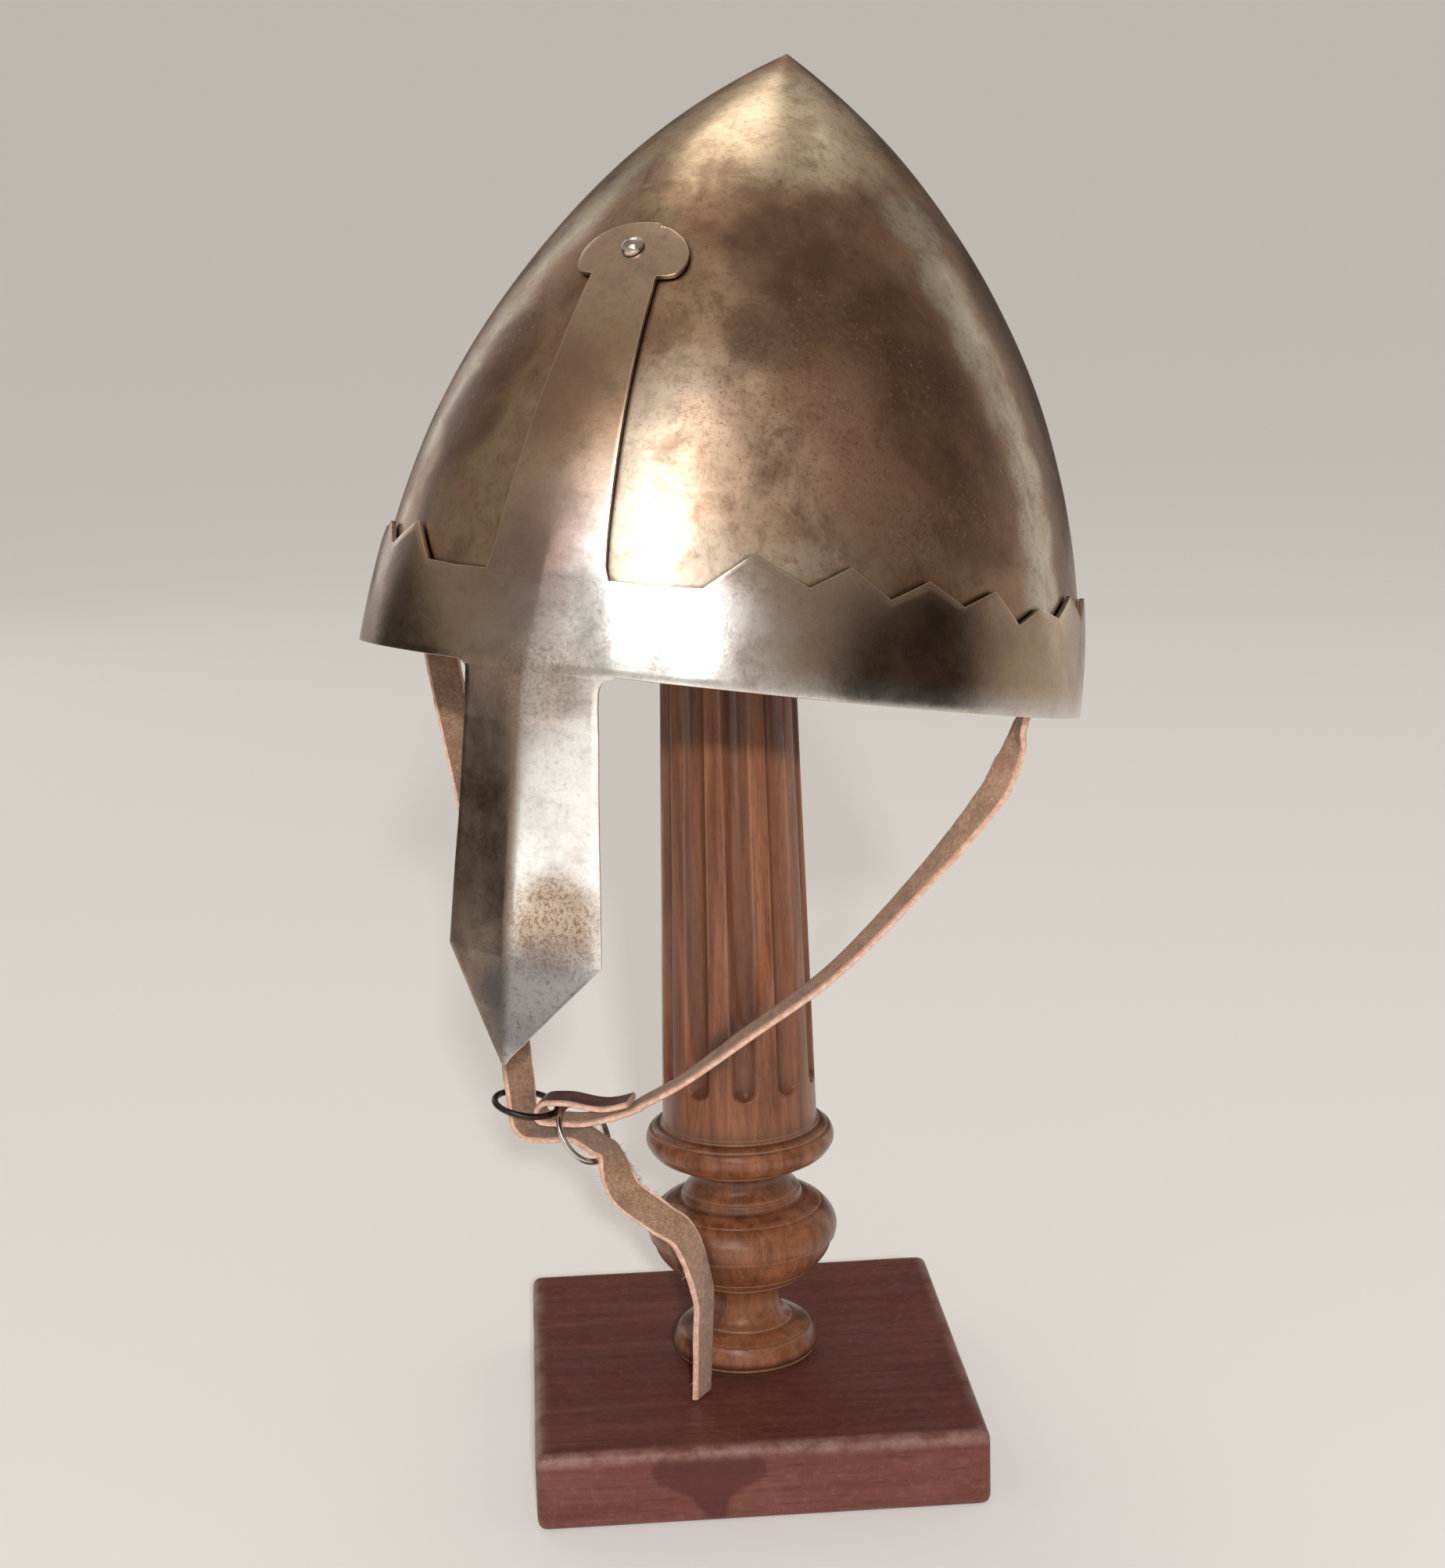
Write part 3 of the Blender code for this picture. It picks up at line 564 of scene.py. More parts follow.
def front_rows():
    """Rows of the sheet's front from the nasal's point up to the strip's head."""
    shares = sorted(set(even(70)) | {0.004, 0.009, 0.016, 0.024, 0.033} | {row[0] for row in NASAL_ROWS})
    rows = [nasal_row(share) for share in reversed(shares[1:])]
    nasal_count = len(rows)
    width = NASAL_ROWS[0][1] * NASAL_HALF_WIDTH
    for level in BAND_LEVELS:
        right = blend(width + NASAL_CORNER_LEFT, STRIP_FOOT_HALF_WIDTH, level)
        left = blend(width + NASAL_CORNER_RIGHT, STRIP_FOOT_HALF_WIDTH, level)
        rows.append(strip_row(level * BAND_HEIGHT, -left, right))
    for share in even(46)[1:]:
        half = blend(STRIP_FOOT_HALF_WIDTH, STRIP_NECK_HALF_WIDTH, along_table(STRIP_ROWS, share, 1))
        rows.append(row_above_band(share * STRIP_REACH, half))
    for turn in even(20, 0, math.pi)[1:]:
        share = (1 - math.cos(turn)) / 2
        rows.append(row_above_band(STRIP_REACH + share * HEAD_HEIGHT, head_half_width(share)))
    ease_rim_crossing(rows, nasal_count)
    return rows, nasal_count


def ease_rim_crossing(rows, nasal_count):
    """Lets the sheet flow from the band into the nasal without a crease at the rim."""
    first = next(i for i, row in enumerate(rows) if row[0].z > -EASE_BELOW_RIM)
    last = nasal_count + len(BAND_LEVELS)
    for _ in range(EASE_STEPS):
        for i in range(first, last):
            low, row, high = rows[i - 1], rows[i], rows[i + 1]
            for a, point, b in zip(low, row, high):
                point.y = blend(a.y, b.y, (point.z - a.z) / (b.z - a.z))


def head_half_width(share):
    """Half width of the strip's rounded head, on a smooth curve through its table."""
    rows = HEAD_ROWS
    for i in range(len(rows) - 1):
        if share <= rows[i + 1][0]:
            around = [rows[min(max(i + k, 0), len(rows) - 1)][1] for k in (-1, 0, 1, 2)]
            part = (share - rows[i][0]) / (rows[i + 1][0] - rows[i][0])
            return between(around, part) * HEAD_HALF_WIDTH
    return rows[-1][1] * HEAD_HALF_WIDTH


def make_sheet(finish):
    rows, nasal_count = front_rows()
    across = len(SHEET_ACROSS)
    points = [HELMET @ point for row in rows for point in row]
    faces = grid_faces(len(rows), across)
    previous = [(nasal_count + i) * across + across - 1 for i in range(len(BAND_LEVELS))]
    last = [(nasal_count + i) * across for i in range(len(BAND_LEVELS))]
    for angle, top in refine(band_edge(), 6):
        column = []
        for level in BAND_LEVELS:
            column.append(len(points))
            points.append(HELMET @ skull_point(angle, level * top, GAP + FACET_ROOM))
        faces += ladder(previous, column)
        previous = column
    faces += ladder(previous, last)
    nodes = ("brow_band_nasal",)
    sheet = add_piece("brow_band_and_nasal", points, faces, [finish], nodes, sharp=0)
    add_wall(sheet, SHEET_WALL, 1, SHEET_BEVEL)


def ladder(left, right):
    """Quads between two columns of points."""
    return [(left[i], right[i], right[i + 1], left[i + 1]) for i in range(len(left) - 1)]


def make_rivet(finish):
    """The strip's rivet: a smooth dome on the middle of the rounded head."""
    rise = STRIP_REACH + 0.5 * HEAD_HEIGHT
    height, centre = BAND_HEIGHT + rise, strip_centre(rise)
    seat = skull_point_at(centre, height, SHEET_WALL + FACET_ROOM + 1.5 * GAP)
    place = HELMET @ Matrix.Translation(seat) @ facing(seat - skull_point_at(centre, height))
    rings, segments = 14, 40
    points = [place @ Vector((0, 0, RIVET_DOME))]
    for bend in even(rings, 0, math.pi / 2)[1:]:
        radius, up = RIVET_RADIUS * math.sin(bend), RIVET_DOME * math.cos(bend)
        points += [place @ polar(radius, turn, up) for turn in circle(segments)]
    faces = fan(1, segments, 0) + flipped(grid_faces(rings, segments, 1, closed=True))
    faces.append(tuple(reversed(range(len(points) - segments, len(points)))))
    add_piece("rivet_dome", points, faces, [finish], ("strip_rivet",))


# The stand
def column_seat():
    """Height of the domed top's centre at which the dome carries the skull."""
    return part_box("turned_column")[1].z - COLUMN_TOP_RADIUS


def turned_profile():
    """(radius, height) up the turned foot, with smooth curves between creases."""
    foot = BOARD_THICKNESS + GAP
    rise = BALUSTER_HEIGHT - GAP
    rows = []
    for radius, part in TURNED_ROWS.items():
        rows += [(foot + share * rise, wide * radius, crease) for share, wide, crease in part]
    profile = []
    for i in range(len(rows) - 1):
        before = rows[i] if rows[i][2] or i == 0 else rows[i - 1]
        after = rows[i + 1] if rows[i + 1][2] or i + 2 == len(rows) else rows[i + 2]
        stretch = (before, rows[i], rows[i + 1], after)
        for part in even(5)[:-1]:
            height = between([row[0] for row in stretch], part)
            profile.append((between([row[1] for row in stretch], part), height))
    return profile + [(rows[-1][1], rows[-1][0])]


def groove(height):
    """Depth of the fine grooves that the turning tool left at this height."""
    depth = 0.0
    for share, deep, half_width in GROOVE_ROWS:
        off = abs(height - BOARD_THICKNESS - share * BALUSTER_HEIGHT) / half_width
        depth += deep * max(0.0, 1 - off)
    return depth


def grooved_profile():
    """The turned profile with rows added for each groove."""
    smooth = turned_profile()
    heights = {height for _, height in smooth}
    for share, _, half_width in GROOVE_ROWS:
        middle = BOARD_THICKNESS + share * BALUSTER_HEIGHT
        heights |= {middle + part * half_width for part in (-1.0, -0.4, 0.0, 0.4, 1.0)}
    rows = []
    for height in sorted(heights):
        for (wide_a, low), (wide_b, high) in zip(smooth, smooth[1:]):
            if low <= height <= high:
                part = (height - low) / (high - low)
                rows.append((blend(wide_a, wide_b, part) - groove(height), height))
                break
    return rows


def taper(share):
    """Radius of the shaft at a share of its height."""
    return blend(COLUMN_LOW_RADIUS, COLUMN_TOP_RADIUS, share)


def flute(turn, height, low, high):
    """Depth of the flutes at this place on the shaft."""
    pitch = 2 * math.pi / FLUTE_COUNT
    off = (turn - FLUTE_TURN + pitch / 2) % pitch - pitch / 2
    share = (height - low) / (high - low)
    side = off * taper(share)
    start = low + FLUTE_RISE + FLUTE_RADIUS
    end = high - 2 * FLUTE_RADIUS
    beyond = max(start - height, height - end, 0.0)
    reach = FLUTE_RADIUS**2 - side**2 - beyond**2
    depth = math.sqrt(max(reach, 0.0)) - (FLUTE_RADIUS - FLUTE_DEPTH)
    return (depth + math.hypot(depth, ARRIS_ROUNDING)) / 2 if depth > -FLUTE_FADE else 0.0


def make_column(finish):
    low = BOARD_THICKNESS + BALUSTER_HEIGHT
    high = column_seat()
    start, stop = low + FLUTE_RISE, high - 3 * FLUTE_RADIUS
    heights = even(6, low, start)[1:] + even(16, start, start + FLUTE_RUNOUT)[1:]
    heights += even(90, start + FLUTE_RUNOUT, stop)[1:] + even(14, stop, high)[1:]
    rows = [(radius, height, False) for radius, height in grooved_profile()]
    rows += [(taper((height - low) / (high - low)), height, True) for height in heights]
    for turn in even(8, 0, math.pi / 2 * 0.985)[1:]:
        rows.append((COLUMN_TOP_RADIUS * math.cos(turn), high + COLUMN_TOP_RADIUS * math.sin(turn), False))
    segments = FLUTE_COUNT * 26
    points = []
    for radius, height, fluted in rows:
        for turn in circle(segments):
            depth = flute(turn, height, low, high) if fluted else 0.0
            wide = radius - depth + swell(polar(1, turn, height * 30), *COLUMN_RIPPLE)
            points.append(polar(wide, turn, height))
    faces = grid_faces(len(rows), segments, closed=True)
    faces.append(tuple(reversed(range(segments))))
    faces.append(tuple(range(len(points) - segments, len(points))))
    add_piece("turned_stand", points, faces, [finish], ("turned_column",), sharp=40)


def make_board(finish):
    shape = bmesh.new()
    bmesh.ops.create_cube(shape, size=1.0)
    bmesh.ops.scale(shape, vec=(BOARD_SIDE, BOARD_SIDE, BOARD_THICKNESS), verts=shape.verts)
    bmesh.ops.bevel(
        shape, geom=shape.edges[:], offset=BOARD_ROUNDING, segments=5, affect="EDGES", profile=0.6
    )
    long_edges = [edge for edge in shape.edges if edge.calc_length() > 0.5 * BOARD_SIDE]
    bmesh.ops.subdivide_edges(shape, edges=long_edges, cuts=40, use_grid_fill=True)
    turn = Matrix.Translation((0, 0, BOARD_THICKNESS / 2)) @ Matrix.Rotation(BOARD_TURN, 4, "Z")
    for vert in shape.verts:
        soft = swell(vert.co, *BOARD_WEAR)
        away = Vector((vert.co.x, vert.co.y, 0)).normalized()
        if vert.co.z > -0.3 * BOARD_THICKNESS:
            vert.co += (Vector((0, 0, -0.6)) - away * 0.5) * abs(soft)
    shape.verts.index_update()
    points = [turn @ vert.co for vert in shape.verts]
    faces = [[vert.index for vert in face.verts] for face in shape.faces]
    shape.free()
    add_piece("board", points, faces, [finish], ("base_board",), sharp=0)


# The straps' routes: stations of a place and a width direction
def heading(turn, rise=0):
    """A width direction: degrees from the back towards the wearer's left, and up."""
    turn, rise = math.radians(turn), math.radians(rise)
    return Vector((math.sin(turn) * math.cos(rise), math.cos(turn) * math.cos(rise), math.sin(rise)))


BUCKLE = Matrix.Translation(BUCKLE_PLACE) @ Matrix.Rotation(BUCKLE_TURN, 4, "Z")
RING_RADIUS = STRAP_WIDTH / 2 + RING_ROOM + WIRE_RADIUS


def dark_ring():
    sagitta = RING_RADIUS - math.sqrt(RING_RADIUS**2 - (STRAP_WIDTH / 2) ** 2)
    right = STRAP_THICKNESS / 2 + WIRE_RADIUS + 2 * GAP
    centre = Vector((right + sagitta, 0, right))
    centre += Vector((-math.cos(BUCKLE_TILT), 0, math.sin(BUCKLE_TILT))) * RING_RADIUS
    return centre, Vector((math.sin(BUCKLE_TILT), 0, math.cos(BUCKLE_TILT)))


def bright_ring():
    normal = BRIGHT_RING_NORMAL.normalized()
    chord = Vector((0, 0, 1)).cross(normal).normalized()
    ascent = normal.cross(chord)
    hole = RING_RADIUS - WIRE_RADIUS - GAP
    drop = math.sqrt(hole**2 - (STRAP_WIDTH / 2 / chord.y) ** 2)
    drop -= STRAP_THICKNESS / 2 / ascent.z + 2.5 * GAP
    crossing = dark_ring()[0].x + RING_RADIUS * 1.45 + 2 * WIRE_RADIUS
    return Vector((crossing, 0, 0)) - ascent * drop, normal


def fold_height():
    centre, normal = bright_ring()
    crown = centre.z + RING_RADIUS * math.hypot(normal.x, normal.y)
    return crown + WIRE_RADIUS + GAP + STRAP_THICKNESS / 2


def wall_inset():
    return SKULL_WALL + 4 * GAP + STRAP_WIDTH**2 / (8 * SKULL_HALF_WIDTH)


def wall_stations(angle):
    """Stations of a strap's riveted end, flat on the skull's inner wall, top first."""
    stations = []
    for share in RIVETED_END:
        height = STRAP_RISE + share * STRAP_RIVET_RADIUS
        spot = skull_point(angle, height, -wall_inset() - STRAP_THICKNESS / 2)
        across = on_skull(angle + 0.01, height) - on_skull(angle - 0.01, height)
        stations.append((HELMET @ spot, HELMET.to_3x3() @ across.normalized() * math.copysign(1, angle)))
    return stations


def below_rim(angle, inward, turn):
    return HELMET @ skull_point(angle, 0.0, -(SKULL_WALL + inward)), heading(turn)


def keep_off_column(place):
    low = BOARD_THICKNESS + BALUSTER_HEIGHT
    share = min(max((place.z - low) / (column_seat() - low), 0.0), 1.0)
    room = taper(share) + STRAP_WIDTH / 2 + 2 * GAP
    aside = math.hypot(place.x, place.y)
    if aside >= room:
        return place
    return Vector((place.x * room / aside, place.y * room / aside, place.z))


def left_strap_route():
    start = below_rim(LEFT_STRAP_ANGLE, 0.55 * STRAP_WIDTH, -16)
    end = BUCKLE @ Vector((bright_ring()[0].x, 0, 0))
    route = wall_stations(LEFT_STRAP_ANGLE) + [start]
    for share, sag, bow, turn in LEFT_STRAP_ROWS:
        place = start[0].lerp(end, share) + heading(LEFT_BOW_TURN) * bow * LEFT_STRAP_BOW
        place.z -= sag * LEFT_STRAP_SAG
        route.append((keep_off_column(place), heading(turn)))
    return route + fold_stations()


def lower_layer(along):
    share = along / FOLD_LENGTH
    for (far, high), (near, low) in zip(LOWER_LAYER_ROWS, LOWER_LAYER_ROWS[1:]):
        if share > near:
            return blend(low, high, (share - near) / (far - near)) * FOLD_LENGTH
    return 0.0


def fold_stations():
    high = fold_height()
    peak = bright_ring()[0].x
    closed = STRAP_THICKNESS + 2 * GAP
    half = STRAP_THICKNESS / 2
    shape = [(along * FOLD_LENGTH, up * FOLD_LENGTH) for along, up in LOWER_LAYER_ROWS]
    shape += [
        (half, 0.02 * high),
        (-0.6 * half, 0.16 * high),
        (-half, 0.42 * high),
        (-0.3 * half, 0.72 * high),
        (1.6 * half, 0.93 * high),
        (0.36 * peak, high),
        (0.74 * peak, high),
    ]
    for share, apart in ((0.3, 1.7), (0.65, 1.25), (1.0, 1.1)):
        along = peak + share * (FOLD_LENGTH - peak)
        shape.append((along, lower_layer(along) + closed * apart))
    across = BUCKLE.to_3x3() @ Vector((0, 1, 0))
    return [(BUCKLE @ Vector((x, 0, z)), across) for x, z in shape]


def right_strap_route():
    start = below_rim(RIGHT_STRAP_ANGLE, 0.5 * STRAP_WIDTH, 45)
    centre = dark_ring()[0]
    hole = BUCKLE @ Vector((-0.7 * RING_RADIUS, 0, centre.z + 0.02 * RING_RADIUS))
    route = wall_stations(RIGHT_STRAP_ANGLE) + [start]
    for share, bow, turn in RIGHT_STRAP_ROWS:
        place = start[0].lerp(hole, share) + heading(RIGHT_BOW_TURN) * bow * RIGHT_STRAP_BOW
        route.append((place, heading(turn)))
    route.append((hole, heading(23)))
    for along, high, turn, rise in UNDER_FOLD_ROWS:
        place = BUCKLE @ Vector((along * RING_RADIUS, 0, high * RING_RADIUS))
        route.append((place, heading(turn, rise)))
    return route + through_ring_stations() + tail_stations()


def through_ring_stations():
    centre, normal = bright_ring()
    run = (RING_PASSAGE - normal * RING_PASSAGE.dot(normal)).normalized()
    across = normal.cross(run)
    stations = []
    for share_run, share_across, share_off in THROUGH_RING_ROWS:
        place = centre + (run * share_run + across * share_across + normal * share_off) * RING_RADIUS
        stations.append((BUCKLE @ place, BUCKLE.to_3x3() @ across))
    return stations


def tail_stations():
    least = BULB_RADIUS + STRAP_WIDTH / 2 + 2 * GAP
    stations = []
    for bearing, away, high, turn, rise in TAIL_ROWS:
        bearing = math.radians(bearing)
        place = Vector((math.sin(bearing), -math.cos(bearing), 0)) * away * least
        place.z = BOARD_THICKNESS + high * BALUSTER_HEIGHT
        stations.append((place, heading(turn, rise)))
    return stations


# Upper corners of a strap's cross-section; the lower ones mirror them. Columns:
# share of half the width, share of half the thickness
STRAP_TOP = (
    (-1.0, 0.55),
    (-0.86, 1.0),
    (-0.6, 1.0),
    (-0.2, 1.0),
    (0.2, 1.0),
    (0.6, 1.0),
    (0.86, 1.0),
    (1.0, 0.55),
)
STRAP_SECTION = STRAP_TOP + tuple((-wide, -thick) for wide, thick in STRAP_TOP)


def strap_stations(route, per_span=12):
    """(place, width direction, outward direction) closely along a strap's route."""
    ends = [route[0]] + list(route) + [route[-1]]
    smooth = []
    for i in range(len(route) - 1):
        for step in range(per_span):
            part = step / per_span
            smooth.append(tuple(between([ends[i + k][p] for k in range(4)], part) for p in (0, 1)))
    smooth.append(route[-1])
    stations = []
    for i, (place, across) in enumerate(smooth):
        along = (smooth[min(i + 1, len(smooth) - 1)][0] - smooth[max(i - 1, 0)][0]).normalized()
        side = (across - along * across.dot(along)).normalized()
        stations.append((place, side, along.cross(side)))
    return stations


def make_strap(name, node, route, top, under, edge):
    """A leather strap along a route: top is the material of its outward side."""
    stations = strap_stations(route)
    points = []
    count = len(STRAP_SECTION)
    for place, side, out in stations:
        for wide, thick in STRAP_SECTION:
            rough = swell(place + side * wide * 0.01, 0.004, 0.0003, 2.0 + wide)
            half_width = STRAP_WIDTH / 2 + (rough if abs(wide) > 0.95 else 0.0) - STRAP_TRIM
            lift = thick * STRAP_THICKNESS / 2 + swell(place, 0.007, 0.0001, 4.0 + thick)
            points.append(place + side * wide * half_width + out * lift)
    faces = flipped(grid_faces(len(stations), count, closed=True))
    faces.append(tuple(range(count)))
    faces.append(tuple(reversed(range(len(points) - count, len(points)))))
    strap = add_piece(name, points, faces, [top, under, edge], (node,), sharp=50)
    kinds = ([2] + [0] * 5 + [2] * 3 + [1] * 5 + [2] * 2) * (len(stations) - 1) + [2, 2]
    for face, kind in zip(strap.data.polygons, kinds):
        face.material_index = kind


def make_fibres(name, route, finish, side_sign, first, last, count, seed):
    """Frayed leather fibres along one cut edge, between two shares of the route."""
    stations = strap_stations(route)
    dice = random.Random(seed)
    points, faces = [], []
    for _ in range(count):
        place, side, out = stations[int(blend(first, last, dice.random()) * (len(stations) - 1))]
        along = side.cross(out)
        root = place + side * side_sign * STRAP_WIDTH * 0.48
        root += out * STRAP_THICKNESS * dice.uniform(-0.4, 0.4)
        lean = side * side_sign + out * dice.uniform(-0.7, 0.7) + along * dice.uniform(-1.2, 1.2)
        reach = lean.normalized() * dice.uniform(*FIBRE_LENGTH)
        curl = Vector((dice.uniform(-1, 1), dice.uniform(-1, 1), dice.uniform(-1, 0.3))) * FIBRE_CURL
        thin = dice.uniform(*FIBRE_RADIUS)
        start = len(points)
        for share in even(3):
            middle = root + reach * share + curl * share**2
            for turn in circle(3):
                around = (along * math.cos(turn) + out * math.sin(turn)) * thin * (1 - 0.8 * share)
                points.append(middle + around)
        faces += grid_faces(4, 3, start, closed=True)
        faces.append((start + 2, start + 1, start))
        faces.append((len(points) - 3, len(points) - 2, len(points) - 1))
    add_piece(name, points, faces, [finish], (), sharp=0)


def make_ring(name, node, ring, finish):
    """A smooth closed wire ring in the buckle's frame."""
    centre, normal = ring
    place = BUCKLE @ Matrix.Translation(centre) @ facing(normal)
    around, sides = 96, 16
    points = []
    for turn in circle(around):
        for roll in circle(sides):
            away = RING_RADIUS + WIRE_RADIUS * math.cos(roll)
            points.append(place @ polar(away, turn, WIRE_RADIUS * math.sin(roll)))
    faces = flipped(grid_faces(around + 1, sides, closed=True))
    faces = [tuple(corner % len(points) for corner in face) for face in faces]
    add_piece(name, points, faces, [finish], (node,), sharp=0)


# Materials
class Finish:
    """A Principled material whose tone is laid layer over layer."""

    def __init__(self, name, color, roughness, metallic=0.0):
        self.material = bpy.data.materials.new(name)
        self.material.use_nodes = True
        self.tree = self.material.node_tree
        self.shader = self.tree.nodes["Principled BSDF"]
        self.set("Base Color", (*color, 1.0))
        self.set("Roughness", roughness)
        self.set("Metallic", metallic)
        self.place = self.node("TexCoord").outputs["Object"]

    def node(self, kind, *values, operation=None, **inputs):
        made = self.tree.nodes.new("ShaderNode" + kind)
        if operation:
            made.operation = operation
        for i, value in enumerate(values):
            self.put(made.inputs[i], value)
        for name, value in inputs.items():
            self.put(made.inputs[name.replace("_", " ")], value)
        return made

    def put(self, socket, value):
        if isinstance(value, bpy.types.NodeSocket):
            self.tree.links.new(value, socket)
        else:
            socket.default_value = value

    def set(self, name, value):
        self.put(self.shader.inputs[name], value)

    def start(self, mask, a, b):
        """The lowest layer: tone a where the mask is 0 and b where it is 1."""
        self.tone = self.mix(mask, a, b)

    def lay(self, mask, strength, color):
        """Lays a colour over the tone where the mask is 1."""
        self.tone = self.mix(self.times(mask, strength), self.tone, color)

    def done(self):
        self.set("Base Color", self.tone)
        return self.material

    def stretched(self, scale, turn=(0, 0, 0)):
        made = self.node("Mapping", Vector=self.place, Rotation=turn, Scale=[1 / part for part in scale])
        made.vector_type = "TEXTURE"
        return made.outputs["Vector"]

    def noise(self, scale, detail=4.0, rough=0.5, at=None, warp=0.0):
        made = self.node("TexNoise", Vector=at or self.place, Scale=scale, Detail=detail)
        self.put(made.inputs["Roughness"], rough)
        self.put(made.inputs["Distortion"], warp)
        return made.outputs["Fac"]

    def ramp(self, value, low, high):
        """0 below low, 1 above high, and smooth between."""
        made = self.node("MapRange", Value=value, From_Min=low, From_Max=high)
        made.interpolation_type = "SMOOTHSTEP"
        return made.outputs["Result"]

    def patches(self, scale, detail, rough, low, high, at=None, warp=0.0):
        """Noise cut to patches of 1, where it is above high, on a ground of 0, below low."""
        return self.ramp(self.noise(scale, detail, rough, at, warp), low, high)

    def between(self, value, low, high):
        """A soft noise value spread between two roughnesses."""
        made = self.node("MapRange", Value=value, From_Min=0.3, From_Max=0.7, To_Min=low, To_Max=high)
        return made.outputs["Result"]

    def math(self, operation, a, b, clamp=True):
        made = self.node("Math", a, b, operation=operation)
        made.use_clamp = clamp
        return made.outputs[0]

    def times(self, a, b):
        return self.math("MULTIPLY", a, b)

    def plus(self, a, b):
        return self.math("ADD", a, b)

    def minus(self, a, b):
        return self.math("SUBTRACT", a, b, clamp=False)

    def vector(self, operation, a, b=(0, 0, 0)):
        made = self.node("VectorMath", a, b, operation=operation)
        return made.outputs["Value" if operation in ("DISTANCE", "DOT_PRODUCT") else "Vector"]

    def mix(self, factor, a, b):
        made = self.node("Mix")
        made.data_type = "RGBA"
        self.put(made.inputs["Factor"], factor)
        for name, color in (("A", a), ("B", b)):
            self.put(made.inputs[name], color if isinstance(color, bpy.types.NodeSocket) else (*color, 1.0))
        return made.outputs["Result"]

    def near(self, point, radius, soft):
        """1 near a point and 0 away from it, with a ragged edge."""
        ragged = self.times(self.noise(60.0, 5.0, 0.6), soft)
        apart = self.vector("DISTANCE", self.place, point)
        return self.ramp(self.minus(apart, ragged), radius, radius - soft)

    def hollow(self, reach, clear, deep):
        """1 in a corner that other surfaces close off within this reach."""
        open_sky = self.node("AmbientOcclusion", Distance=reach)
        open_sky.samples = 8
        return self.ramp(open_sky.outputs["AO"], clear, deep)

    def worn_edge(self, radius):
        """1 along outer edges and 0 on flat stretches."""
        rounded = self.node("Bevel", Radius=radius)
        rounded.samples = 6
        flat = self.node("NewGeometry").outputs["Normal"]
        return self.ramp(self.vector("DOT_PRODUCT", rounded.outputs["Normal"], flat), 0.995, 0.93)

    def from_rim(self, axis):
        """How far a place lies from the rim's centre along an axis of the helmet."""
        turned = HELMET.to_3x3() @ Vector(axis)
        return self.minus(self.vector("DOT_PRODUCT", self.place, turned), RIM_CENTRE.dot(turned))

    def bump(self, height, strength, distance, after=None):
        made = self.node("Bump", Height=height, Strength=strength, Distance=distance)
        if after:
            self.put(made.inputs["Normal"], after)
        return made.outputs["Normal"]

    def beaten(self, cloud, low, high, wave, strength, depth):
        """Uneven polish, soft waves and fine grain of beaten sheet."""
        self.set("Roughness", self.between(self.noise(cloud, 5.0, 0.7), low, high))
        waves = self.bump(self.noise(wave, 2.0, 0.5), strength, depth)
        self.set("Normal", self.bump(self.noise(300.0, 5.0, 0.7), 0.08, 0.0005, waves))


def helmet_place(angle, height, lift=0.0):
    return HELMET @ skull_point(math.radians(angle), height * SKULL_HEIGHT, lift)


# Pale steel painted as highlight where the key light's reflection falls
PAINTED_HIGHLIGHT_STEEL = (0.64, 0.53, 0.41)
# Silver, painted as highlight and bright reflection on the band and nasal
SILVER = (0.8, 0.78, 0.75)
BRONZE = (0.46, 0.295, 0.185)
OLIVE = (0.42, 0.31, 0.195)
RED_BROWN = (0.37, 0.21, 0.135)
DARK_BROWN = (0.17, 0.09, 0.058)
KHAKI_GOLD = (0.58, 0.44, 0.295)
# Khaki grey painted as streaks of reflected bright light on the skull's sides
PAINTED_REFLECTION_KHAKI = (0.5, 0.44, 0.335)
RUST = (0.17, 0.068, 0.036)
# Near-black painted shade for corners and gaps
CORNER_SHADE = (0.035, 0.022, 0.016)
SMOKE = (0.27, 0.19, 0.145)
# Dark brown of the wood's pores, also painted as shade in the hollows of the turning
PORE_AND_SHADE_BROWN = (0.05, 0.018, 0.01)
